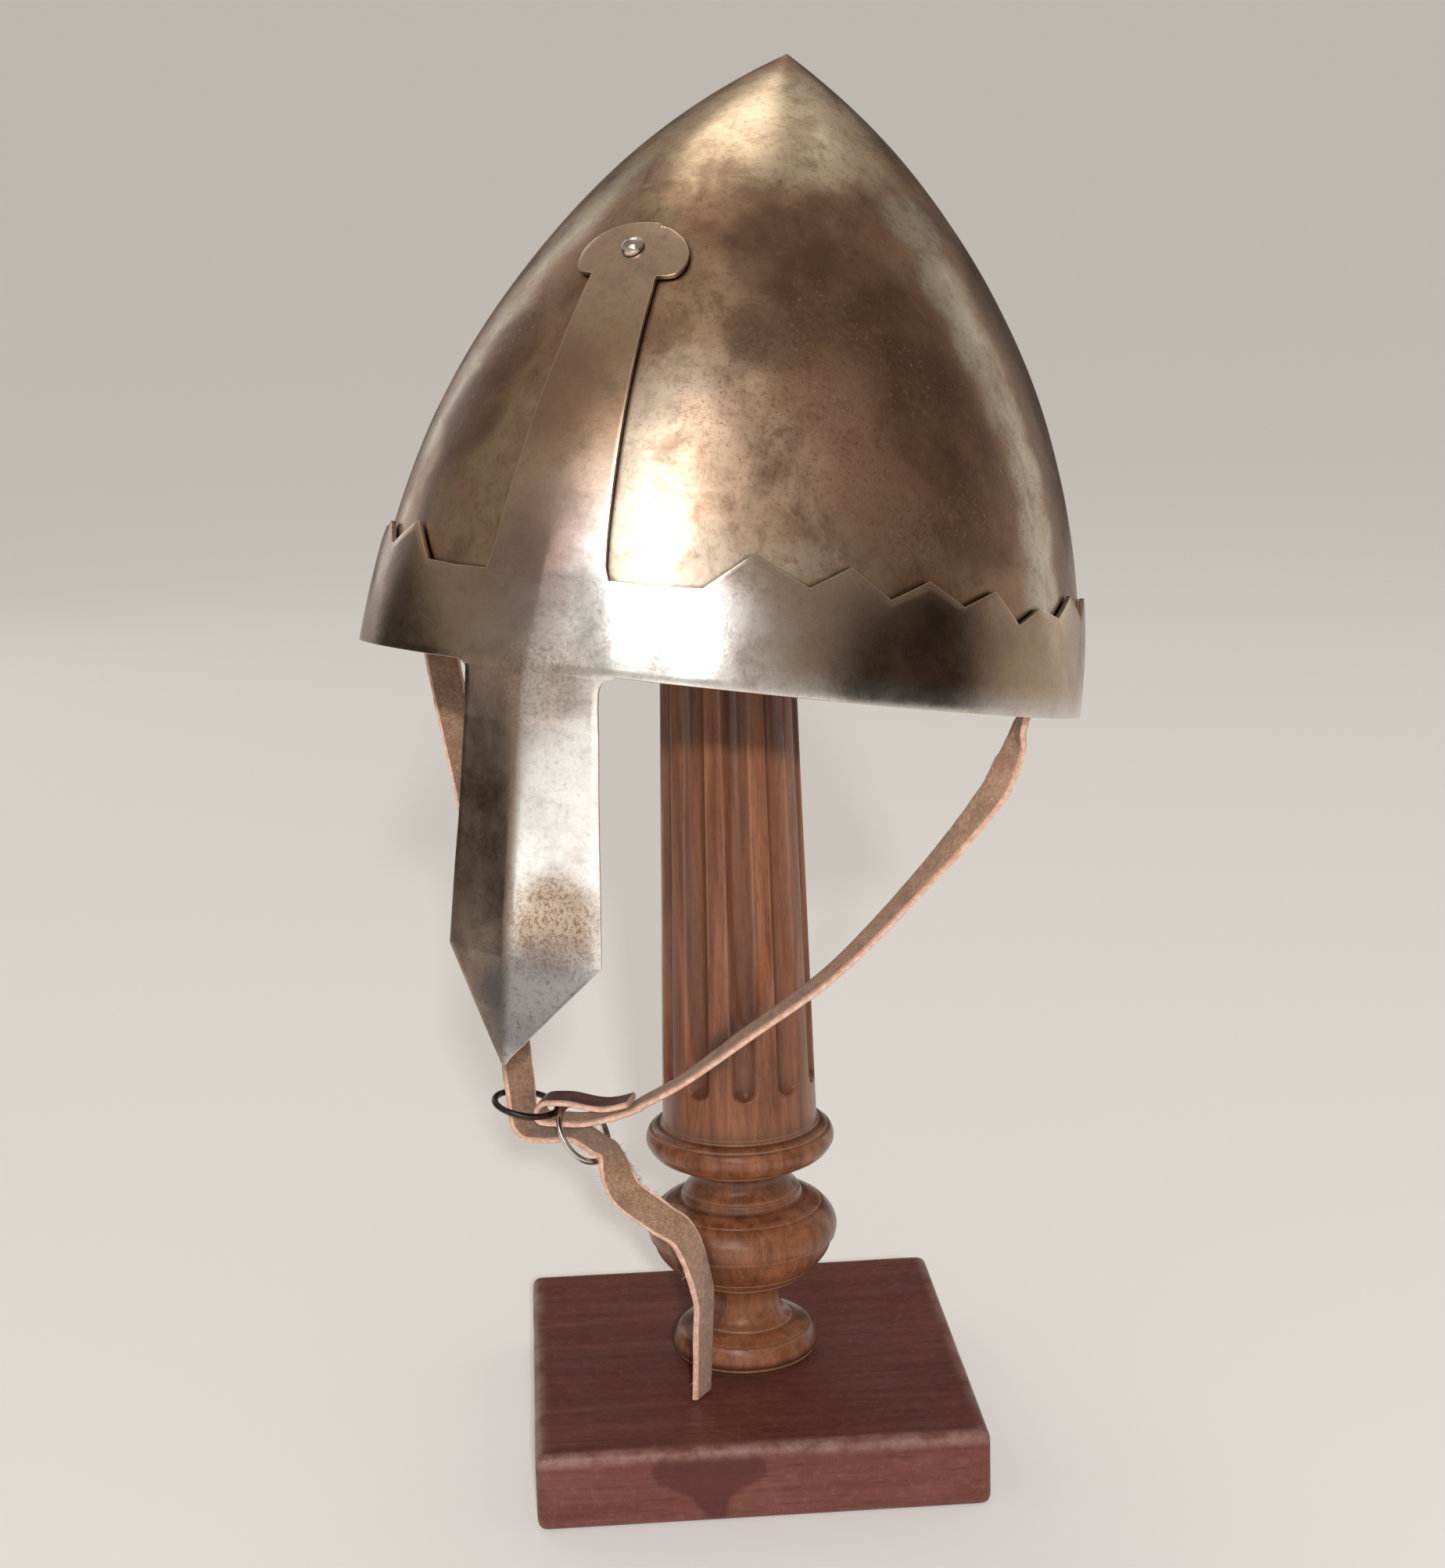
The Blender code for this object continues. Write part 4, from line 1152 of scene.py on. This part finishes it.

# Toned areas of the skull: tarnish, with the studio's reflections painted in. The pale areas at 20 and 31
# degrees are painted highlight round the key light's reflection; the khaki-grey streaks on both sides and
# the khaki-gold and cream areas near the apex are painted reflections of bright lights; the dark brown
# patches on the wearer's left flank and beside the strip are tarnish darkened as a painted reflection of a
# dark room. Columns: degrees from the front, share of the height, radius, softness, colour, strength
SKULL_AREAS = (
    (20, 0.24, 0.046, 0.04, PAINTED_HIGHLIGHT_STEEL, 0.9),
    (31, 0.34, 0.026, 0.018, (0.74, 0.51, 0.355), 0.8),
    (18, 0.56, 0.018, 0.012, (0.6, 0.42, 0.27), 0.75),
    (10, 0.86, 0.034, 0.016, KHAKI_GOLD, 0.95),
    (38, 0.86, 0.028, 0.014, (0.72, 0.58, 0.41), 0.9),
    (105, 0.6, 0.03, 0.012, DARK_BROWN, 0.8),
    (102, 0.42, 0.026, 0.012, DARK_BROWN, 0.8),
    (104, 0.26, 0.028, 0.012, DARK_BROWN, 0.8),
    (30, 0.64, 0.016, 0.006, DARK_BROWN, 0.6),
    (31, 0.52, 0.014, 0.006, DARK_BROWN, 0.5),
    (44, 0.58, 0.02, 0.008, DARK_BROWN, 0.6),
    (58, 0.52, 0.022, 0.008, DARK_BROWN, 0.7),
    (62, 0.42, 0.022, 0.01, DARK_BROWN, 0.7),
    (69, 0.32, 0.022, 0.01, DARK_BROWN, 0.7),
    (42, 0.43, 0.016, 0.012, RED_BROWN, 0.6),
    (71, 0.72, 0.012, 0.006, PAINTED_REFLECTION_KHAKI, 0.8),
    (74, 0.63, 0.012, 0.006, PAINTED_REFLECTION_KHAKI, 0.8),
    (77, 0.54, 0.011, 0.006, PAINTED_REFLECTION_KHAKI, 0.8),
    (81, 0.45, 0.01, 0.006, PAINTED_REFLECTION_KHAKI, 0.85),
    (84, 0.36, 0.01, 0.006, PAINTED_REFLECTION_KHAKI, 0.85),
    (85, 0.27, 0.011, 0.006, PAINTED_REFLECTION_KHAKI, 0.85),
    (86, 0.18, 0.012, 0.006, PAINTED_REFLECTION_KHAKI, 0.85),
    (-29, 0.74, 0.012, 0.008, PAINTED_REFLECTION_KHAKI, 0.7),
    (-31, 0.65, 0.012, 0.008, PAINTED_REFLECTION_KHAKI, 0.75),
    (-34, 0.55, 0.012, 0.008, PAINTED_REFLECTION_KHAKI, 0.75),
    (-37, 0.45, 0.012, 0.008, PAINTED_REFLECTION_KHAKI, 0.75),
    (-40, 0.35, 0.012, 0.008, PAINTED_REFLECTION_KHAKI, 0.75),
    (50, 0.3, 0.02, 0.018, RED_BROWN, 0.7),
    (-28, 0.36, 0.016, 0.007, DARK_BROWN, 0.85),
    (-25, 0.46, 0.013, 0.007, DARK_BROWN, 0.75),
    (-28, 0.25, 0.012, 0.007, DARK_BROWN, 0.6),
    (-20, 0.2, 0.018, 0.014, OLIVE, 0.6),
    (-16, 0.58, 0.016, 0.014, RED_BROWN, 0.6),
    (-80, 0.5, 0.046, 0.03, DARK_BROWN, 0.6),
    (-55, 0.25, 0.024, 0.016, DARK_BROWN, 0.55),
    (-120, 0.72, 0.03, 0.02, KHAKI_GOLD, 0.6),
    (150, 0.45, 0.046, 0.03, DARK_BROWN, 0.65),
    (115, 0.24, 0.024, 0.016, RED_BROWN, 0.6),
    (-150, 0.3, 0.046, 0.03, DARK_BROWN, 0.6),
    (178, 0.66, 0.034, 0.024, KHAKI_GOLD, 0.55),
)

# Rusty and worn specks. Columns: degrees, share of the height, radius
SKULL_SPECKS = (
    (57, 0.24, 0.012),
    (66, 0.29, 0.009),
    (40, 0.55, 0.013),
    (57, 0.47, 0.013),
    (39, 0.37, 0.022),
    (28, 0.42, 0.02),
    (84, 0.34, 0.018),
    (-26, 0.5, 0.012),
    (-95, 0.3, 0.022),
    (170, 0.35, 0.024),
)


def skull_steel():
    steel = Finish("skull_steel", BRONZE, 0.3, 1.0)
    steel.start(steel.patches(17.0, 5.0, 0.6, 0.38, 0.64, warp=0.4), RED_BROWN, OLIVE)
    steel.lay(steel.patches(45.0, 5.0, 0.65, 0.42, 0.66), 0.6, BRONZE)
    for angle, height, radius, soft, color, strength in SKULL_AREAS:
        steel.lay(steel.near(helmet_place(angle, height), radius, soft), strength, color)
    steel.lay(steel.patches(85.0, 6.0, 0.72, 0.48, 0.64, warp=0.6), 0.45, (0.34, 0.185, 0.115))
    smoke = steel.patches(70.0, 6.0, 0.7, 0.47, 0.7, steel.stretched((1, 1, 0.6)), 0.5)
    steel.lay(smoke, 0.55, DARK_BROWN)
    steel.lay(steel.patches(270.0, 6.0, 0.85, 0.5, 0.8), 0.45, (0.5, 0.34, 0.24))
    steel.lay(steel.patches(520.0, 4.0, 0.75, 0.52, 0.64), 0.3, DARK_BROWN)
    specks = 0.0
    for angle, height, radius in SKULL_SPECKS:
        specks = steel.plus(specks, steel.near(helmet_place(angle, height), radius, radius))
    steel.lay(steel.times(steel.patches(820.0, 5.0, 0.8, 0.56, 0.64), specks), 0.75, RUST)
    steel.lay(steel.times(steel.patches(640.0, 6.0, 0.8, 0.57, 0.68), specks), 0.75, (0.66, 0.46, 0.37))
    # Painted shade: near-black in gaps and corners that other surfaces close off, such as under the band's
    # cut edge
    steel.lay(steel.hollow(0.0022, 0.92, 0.55), 0.85, CORNER_SHADE)
    steel.beaten(55.0, 0.23, 0.42, 24.0, 0.25, 0.003)
    return steel.done()


# Toned areas of the band and the strip; the silver and near-silver ones just to the wearer's left of the
# front are painted highlight where the key light's reflection falls. Columns: degrees, share of the skull's
# height, radius, colour, strength
BAND_STAINS = (
    (14, 0.05, 0.036, SILVER, 0.9),
    (7, 0.14, 0.022, SILVER, 0.85),
    (6, 0.25, 0.014, (0.78, 0.73, 0.69), 0.8),
    (-3, 0.48, 0.034, (0.6, 0.41, 0.265), 0.8),
    (0, 0.36, 0.03, (0.54, 0.36, 0.24), 0.7),
    (-8, 0.4, 0.016, (0.36, 0.22, 0.145), 0.75),
    (3, 0.62, 0.024, (0.64, 0.47, 0.34), 0.85),
    (-3, 0.12, 0.016, (0.3, 0.185, 0.15), 0.7),
    (-1, 0.19, 0.013, (0.34, 0.205, 0.165), 0.65),
    (-9, 0.05, 0.014, (0.42, 0.33, 0.27), 0.6),
    (-24, 0.06, 0.024, OLIVE, 0.7),
    (-45, 0.06, 0.03, DARK_BROWN, 0.6),
    (47, 0.1, 0.022, (0.34, 0.25, 0.2), 0.5),
    (60, 0.06, 0.028, DARK_BROWN, 0.7),
    (82, 0.07, 0.018, OLIVE, 0.7),
    (120, 0.08, 0.04, DARK_BROWN, 0.6),
    (-130, 0.08, 0.045, DARK_BROWN, 0.6),
    (180, 0.08, 0.045, OLIVE, 0.6),
)


# Stains of the nasal: bright side, keel, low and tip. Columns: distance to the
# wearer's left, drop below the rim, radius, softness
NASAL_STAINS = (
    (0.011, 0.068, 0.0125, 0.011),
    (0.004, 0.004, 0.014, 0.012),
    (0.009, 0.09, 0.018, 0.014),
    (0.002, 0.097, 0.009, 0.008),
)


def nasal_place(side, drop):
    """A place on the nasal's front: this far from its middle and below the rim."""
    return HELMET @ Vector((side, -on_skull(0, 0).length + drop * 0.1, -drop))


def band_steel():
    steel = Finish("band_steel_finish", SILVER, 0.28, 1.0)
    cloud = steel.patches(22.0, 5.0, 0.62, 0.38, 0.62, warp=0.4)
    steel.start(cloud, (0.44, 0.315, 0.225), (0.55, 0.425, 0.325))
    for angle, height, radius, color, strength in BAND_STAINS:
        steel.lay(steel.near(helmet_place(angle, height), radius, radius * 0.9), strength, color)
    # Painted reflection on the nasal and the foot of the band above it: the half on the wearer's right of
    # the keel is painted a mottled dark brown as a reflected dark room, and the half on the wearer's left is
    # painted silver as reflected bright light
    leftward = steel.from_rim((1, 0, 0))
    on_nasal = steel.ramp(steel.from_rim((0, 0, 1)), 0.01, -0.004)
    blotches = steel.patches(50.0, 5.0, 0.65, 0.35, 0.65)
    brown = steel.mix(blotches, (0.25, 0.165, 0.12), (0.44, 0.335, 0.265))
    steel.lay(steel.times(steel.ramp(leftward, 0.002, -0.001), on_nasal), 0.85, brown)
    steel.lay(steel.times(steel.ramp(leftward, -0.001, 0.002), on_nasal), 1.0, SILVER)
    steel.lay(steel.patches(90.0, 6.0, 0.7, 0.48, 0.74), 0.4, SMOKE)
    steel.lay(steel.patches(520.0, 4.0, 0.75, 0.52, 0.64), 0.22, SMOKE)
    stains = []
    for side, drop, radius, soft in NASAL_STAINS:
        stains.append(steel.near(nasal_place(side, drop), radius, soft))
    stain, keel_stain, low_stain, tip_stain = stains
    steel.lay(stain, 0.8, (0.34, 0.235, 0.15))
    steel.lay(keel_stain, 0.45, (0.58, 0.44, 0.34))
    steel.lay(low_stain, 0.85, (0.17, 0.157, 0.16))
    stained = steel.plus(stain, steel.times(keel_stain, 0.45))
    fine = steel.patches(900.0, 5.0, 0.85, 0.48, 0.58)
    steel.lay(steel.times(fine, stained), 0.8, (0.17, 0.085, 0.045))
    spread = steel.plus(steel.plus(low_stain, tip_stain), 0.12)
    grey = steel.patches(700.0, 5.0, 0.85, 0.52, 0.62)
    steel.lay(steel.times(grey, spread), 0.8, (0.13, 0.12, 0.12))
    steel.lay(steel.worn_edge(0.0006), 0.8, (0.8, 0.68, 0.52))
    steel.beaten(60.0, 0.19, 0.34, 28.0, 0.2, 0.002)
    return steel.done()


def plain_steel():
    steel = Finish("rivet_steel", (0.62, 0.55, 0.49), 0.24, 1.0)
    steel.start(steel.patches(260.0, 3.0, 0.6, 0.45, 0.7), (0.66, 0.59, 0.53), (0.34, 0.25, 0.2))
    # Painted shade: near-black round the rivet's foot where other surfaces close it off
    steel.lay(steel.hollow(0.0016, 0.9, 0.5), 0.85, CORNER_SHADE)
    return steel.done()


def walnut():
    wood = Finish("walnut", (0.2, 0.085, 0.045), 0.4)
    figure = wood.patches(170.0, 6.0, 0.7, 0.32, 0.7, wood.stretched((1, 1, 0.07)), 0.5)
    wood.start(figure, (0.115, 0.036, 0.015), (0.29, 0.108, 0.047))
    pale = wood.patches(40.0, 4.0, 0.6, 0.5, 0.75, wood.stretched((1, 1, 0.3)))
    wood.lay(pale, 0.5, (0.34, 0.14, 0.068))
    pores = wood.patches(2100.0, 3.0, 0.7, 0.54, 0.68, wood.stretched((1, 1, 0.06)))
    wood.lay(pores, 0.45, PORE_AND_SHADE_BROWN)
    # Painted shade: dark in the flutes, grooves and other hollows of the turning
    wood.lay(wood.hollow(0.007, 0.97, 0.74), 0.85, PORE_AND_SHADE_BROWN)
    wood.lay(wood.worn_edge(0.0016), 0.38, (0.42, 0.24, 0.155))
    wood.set("Roughness", wood.between(wood.noise(60.0, 3.0), 0.34, 0.5))
    wood.set("Coat Weight", 0.8)
    wood.set("Specular IOR Level", 0.1)
    wood.set("Coat Roughness", 0.28)
    wood.set("Normal", wood.bump(pores, 0.35, -0.0004))
    return wood.done()


def board_wood():
    wood = Finish("dark_board", (0.09, 0.03, 0.028), 0.38)
    turn = (0, 0, BOARD_TURN)
    figure = wood.patches(160.0, 6.0, 0.72, 0.25, 0.8, wood.stretched((0.06, 1, 1), turn), 0.8)
    wood.start(figure, (0.11, 0.029, 0.021), (0.195, 0.066, 0.047))
    wood.lay(wood.patches(28.0, 5.0, 0.6, 0.42, 0.7), 0.5, (0.11, 0.022, 0.017))
    wood.lay(wood.patches(330.0, 6.0, 0.8, 0.46, 0.72), 0.45, (0.24, 0.112, 0.086))
    pores = wood.patches(1200.0, 3.0, 0.6, 0.58, 0.66, wood.stretched((0.05, 1, 1), turn))
    wood.lay(pores, 0.35, (0.03, 0.01, 0.009))
    run = 0.0
    for side, level, radius in BOARD_RUN:
        run = wood.plus(run, wood.near(board_place(side, -0.5, level), radius, 0.003))
    wood.lay(run, 0.75, (0.07, 0.013, 0.013))
    # Pale along the four upper edges: rubbed wear, brightened further as a painted highlight
    edge = wood.times(board_rim(wood), wood.patches(90.0, 5.0, 0.7, 0.3, 0.65))
    wood.lay(edge, 0.5, (0.38, 0.245, 0.21))
    wood.set("Roughness", wood.between(wood.noise(70.0, 4.0), 0.3, 0.5))
    wood.set("Coat Weight", 0.08)
    wood.set("Coat Roughness", 0.3)
    wood.set("Specular IOR Level", 0.35)
    wood.set("Normal", wood.bump(pores, 0.3, -0.0004))
    return wood.done()


def board_rim(wood):
    """1 along the four upper edges of the board."""
    mirrored = wood.vector("ABSOLUTE", wood.stretched((1, 1, 1), (0, 0, BOARD_TURN)))
    rim = 0.0
    for side in (Vector((1, 0, 0)), Vector((0, 1, 0))):
        flat = wood.vector("MULTIPLY", mirrored, side + Vector((0, 0, 1)))
        corner_line = side * BOARD_SIDE / 2 + Vector((0, 0, BOARD_THICKNESS))
        rim = wood.plus(rim, wood.ramp(wood.vector("DISTANCE", flat, corner_line), 0.005, 0.0016))
    return rim


# Dark run on the board's front. Columns: share of the side, share of the
# thickness, radius
BOARD_RUN = (
    (-0.21, 0.72, 0.005),
    (-0.17, 0.64, 0.006),
    (-0.12, 0.6, 0.008),
    (-0.07, 0.64, 0.006),
    (-0.03, 0.72, 0.005),
    (-0.12, 0.4, 0.006),
    (-0.11, 0.18, 0.004),
)


def board_place(side, front, level):
    """A place on the board, in shares of its side and of its thickness."""
    turned = Matrix.Rotation(BOARD_TURN, 4, "Z") @ Vector((side * BOARD_SIDE, front * BOARD_SIDE, 0))
    return turned + Vector((0, 0, level * BOARD_THICKNESS))


# Suede: deep, pale and worn tones
SUEDE_TONES = ((0.18, 0.09, 0.052), (0.52, 0.32, 0.205), (0.2, 0.108, 0.068))
# Lightens the left strap's suede: painted light on a side that lies in shade
LEFT_SUEDE_PAINTED_LIGHT = 1.55


def suede(name, lift):
    """Rough flesh side of the leather, its tones made lighter by this factor, which paints light onto a
    strap in shade.
    """
    hide = Finish(name, (0.3, 0.165, 0.1), 0.92)
    lifted = [[lift * part for part in color] for color in SUEDE_TONES]
    nap = hide.noise(900.0, 6.0, 0.85, warp=1.0)
    hide.start(hide.ramp(nap, 0.3, 0.7), lifted[0], lifted[1])
    hide.lay(hide.patches(150.0, 6.0, 0.75, 0.46, 0.62), 0.6, lifted[2])
    hide.set("Sheen Weight", 0.25)
    hide.set("Sheen Roughness", 0.5)
    hide.set("Normal", hide.bump(nap, 0.8, 0.0005))
    return hide.done()


def grain_side():
    hide = Finish("grain_side", (0.13, 0.055, 0.045), 0.28)
    hide.start(hide.patches(90.0, 5.0, 0.6, 0.35, 0.7), (0.085, 0.036, 0.034), (0.18, 0.08, 0.066))
    cells = hide.node("TexVoronoi", Vector=hide.place, Scale=1400.0)
    hide.set("Normal", hide.bump(cells.outputs["Distance"], 0.2, 0.0003))
    return hide.done()


def cut_edge():
    hide = Finish("cut_edge", (0.62, 0.37, 0.27), 0.75)
    hide.start(hide.patches(500.0, 5.0, 0.7, 0.35, 0.7), (0.6, 0.35, 0.25), (0.82, 0.55, 0.43))
    hide.set("Normal", hide.bump(hide.noise(1500.0, 4.0, 0.7), 0.5, 0.0004))
    return hide.done()


def wire(name, color, roughness):
    metal = Finish(name, color, roughness, 1.0)
    metal.start(metal.patches(400.0, 4.0, 0.6, 0.5, 0.75), color, [0.6 * part for part in color])
    return metal.done()


def refinish(node, material):
    """Gives a CAD node that stays its procedural material."""
    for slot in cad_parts[node].material_slots:
        slot.material = material


# Studio
def make_camera():
    ahead = (CAMERA_AIM - CAMERA_PLACE).normalized()
    right = ahead.cross(Vector((0, 0, 1))).normalized()
    up = right.cross(ahead)
    side = math.cos(CAMERA_ROLL) * right + math.sin(CAMERA_ROLL) * up
    top = -math.sin(CAMERA_ROLL) * right + math.cos(CAMERA_ROLL) * up
    camera = link("photo_camera", bpy.data.cameras.new("photo_camera"))
    camera.data.lens = CAMERA_LENS
    camera.data.sensor_width = 36.0
    turn = Matrix((side, top, -ahead)).transposed()
    camera.matrix_world = Matrix.Translation(CAMERA_PLACE) @ turn.to_4x4()
    bpy.context.scene.camera = camera


LIGHT_AIM = Vector((0.01, -0.02, 0.3))


def toward(azimuth, elevation, distance):
    """A place seen from the helmet: degrees from its front to the wearer's left, and up."""
    azimuth, elevation = math.radians(azimuth), math.radians(elevation)
    flat = math.cos(elevation)
    direction = Vector((math.sin(azimuth) * flat, -math.cos(azimuth) * flat, math.sin(elevation)))
    return LIGHT_AIM + distance * direction


def facing_helmet(place):
    return (LIGHT_AIM - place).to_track_quat("-Z", "Y").to_euler()


def softbox(name, azimuth, elevation, distance, wide, tall, power, color=(1, 1, 1)):
    light = bpy.data.lights.new(name, "AREA")
    light.shape = "RECTANGLE"
    light.size = wide
    light.size_y = tall
    light.energy = power
    light.color = color
    made = link(name, light)
    made.location = toward(azimuth, elevation, distance)
    made.rotation_euler = facing_helmet(made.location)
    made.visible_camera = False
    return made


def reflection_card(name, azimuth, elevation, distance, wide, tall, shade):
    """A plain card that only reflections show."""
    bpy.ops.mesh.primitive_plane_add(size=1.0, location=toward(azimuth, elevation, distance))
    card = bpy.context.object
    card.name = name
    card.scale = (wide, tall, 1)
    card.rotation_euler = facing_helmet(card.location)
    card.data.materials.append(Finish(name, (shade, shade * 0.92, shade * 0.85), 1.0).material)
    for ray in ("camera", "diffuse", "shadow", "transmission", "volume_scatter"):
        setattr(card, "visible_" + ray, False)


FLOOR_RADIUS = 9.0
FLOOR_FLAT = 2.5
FLOOR_RISE = 2.2
FLOOR_GLOW = 0.26
FLOOR_TONE = (0.78, 0.765, 0.745)


def make_floor():
    """A pale floor that turns up gently far away on every side."""
    rings, segments = 40, 96
    points = [(0, 0, 0)]
    for ring in range(1, rings + 1):
        radius = FLOOR_RADIUS * (ring / rings) ** 1.5
        climb = max(0.0, radius - FLOOR_FLAT) / (FLOOR_RADIUS - FLOOR_FLAT)
        points += [polar(radius, turn, FLOOR_RISE * climb**2) for turn in circle(segments)]
    mesh = bpy.data.meshes.new("floor")
    mesh.from_pydata(points, [], fan(1, segments, 0) + grid_faces(rings, segments, 1, closed=True))
    mesh.shade_smooth()
    finish = Finish("pale_floor", FLOOR_TONE, 0.9)
    finish.set("Emission Color", (*FLOOR_TONE, 1))
    finish.set("Emission Strength", FLOOR_GLOW)
    mesh.materials.append(finish.material)
    link("floor", mesh)


def make_studio():
    make_floor()
    world = bpy.data.worlds.new("studio")
    world.use_nodes = True
    world.node_tree.nodes["Background"].inputs["Color"].default_value = (0.37, 0.33, 0.29, 1)
    bpy.context.scene.world = world
    bpy.context.scene.view_settings.view_transform = "Standard"
    softbox("key", 9, 38, 1.9, 0.6, 0.9, 10.0).visible_diffuse = False
    softbox("key_left", -18, 40, 1.9, 0.5, 0.6, 1.7).visible_diffuse = False
    softbox("camera_side", 28, 22, 1.9, 0.42, 0.42, 2.3).visible_diffuse = False
    softbox("hard_key", 31, 17, 2.2, 0.08, 0.08, 34).visible_glossy = False
    softbox("overhead", -142, 65, 2.2, 1.0, 0.8, 5.0, (1.0, 0.95, 0.86))
    softbox("left_strip", -119, 18, 1.8, 0.26, 1.3, 1.3)
    softbox("right_strip", 154, 12, 1.8, 0.26, 1.3, 0.85)
    softbox("front_low", 16, -6, 1.5, 0.6, 0.26, 0.55)
    softbox("high_right", 168, 56, 2.0, 0.55, 0.4, 0.38).visible_diffuse = False
    reflection_card("dark_card_left", -82, -2, 1.1, 1.0, 0.52, 0.03)
    reflection_card("dark_card_right", 90, 0, 1.2, 1.0, 0.6, 0.04)
    reflection_card("dark_card_high_right", 108, 42, 1.5, 1.6, 1.1, 0.36)
    reflection_card("dark_card_back_right", 187, 12, 1.7, 1.0, 1.1, 0.1)
    reflection_card("dark_card_back_left", -142, 12, 1.7, 1.0, 1.1, 0.1)


make_camera()
make_skull(skull_steel())
make_sheet(band_steel())
make_column(walnut())
make_board(board_wood())
suede_side, smooth_side, edge_side = suede("suede_side", 1.0), grain_side(), cut_edge()
# A copy of the suede painted lighter, as painted light, for the left strap's shaded side
painted_light_suede_side = suede("painted_light_suede_side", LEFT_SUEDE_PAINTED_LIGHT)
left_route, right_route = left_strap_route(), right_strap_route()
make_strap("left_strap", "chin_strap_left", left_route, smooth_side, painted_light_suede_side, edge_side)
make_strap("right_strap", "chin_strap_right", right_route, suede_side, smooth_side, edge_side)
make_fibres("tail_fibres", right_route, suede_side, 1, 0.6, 0.84, 120, 5)
make_fibres("tail_end_fibres", right_route, edge_side, -1, 0.6, 1.0, 40, 8)
make_fibres("left_strap_fibres", left_route, suede_side, 1, 0.1, 0.7, 70, 11)
rivets = plain_steel()
make_rivet(rivets)
refinish("strap_rivet_left", rivets)
refinish("strap_rivet_right", rivets)
black_wire = wire("blackened_steel", (0.075, 0.06, 0.056), 0.36)
bright_wire = wire("nickel", (0.66, 0.64, 0.61), 0.2)
make_ring("black_ring", "dark_ring", dark_ring(), black_wire)
make_ring("nickel_ring", "bright_ring", bright_ring(), bright_wire)
make_studio()
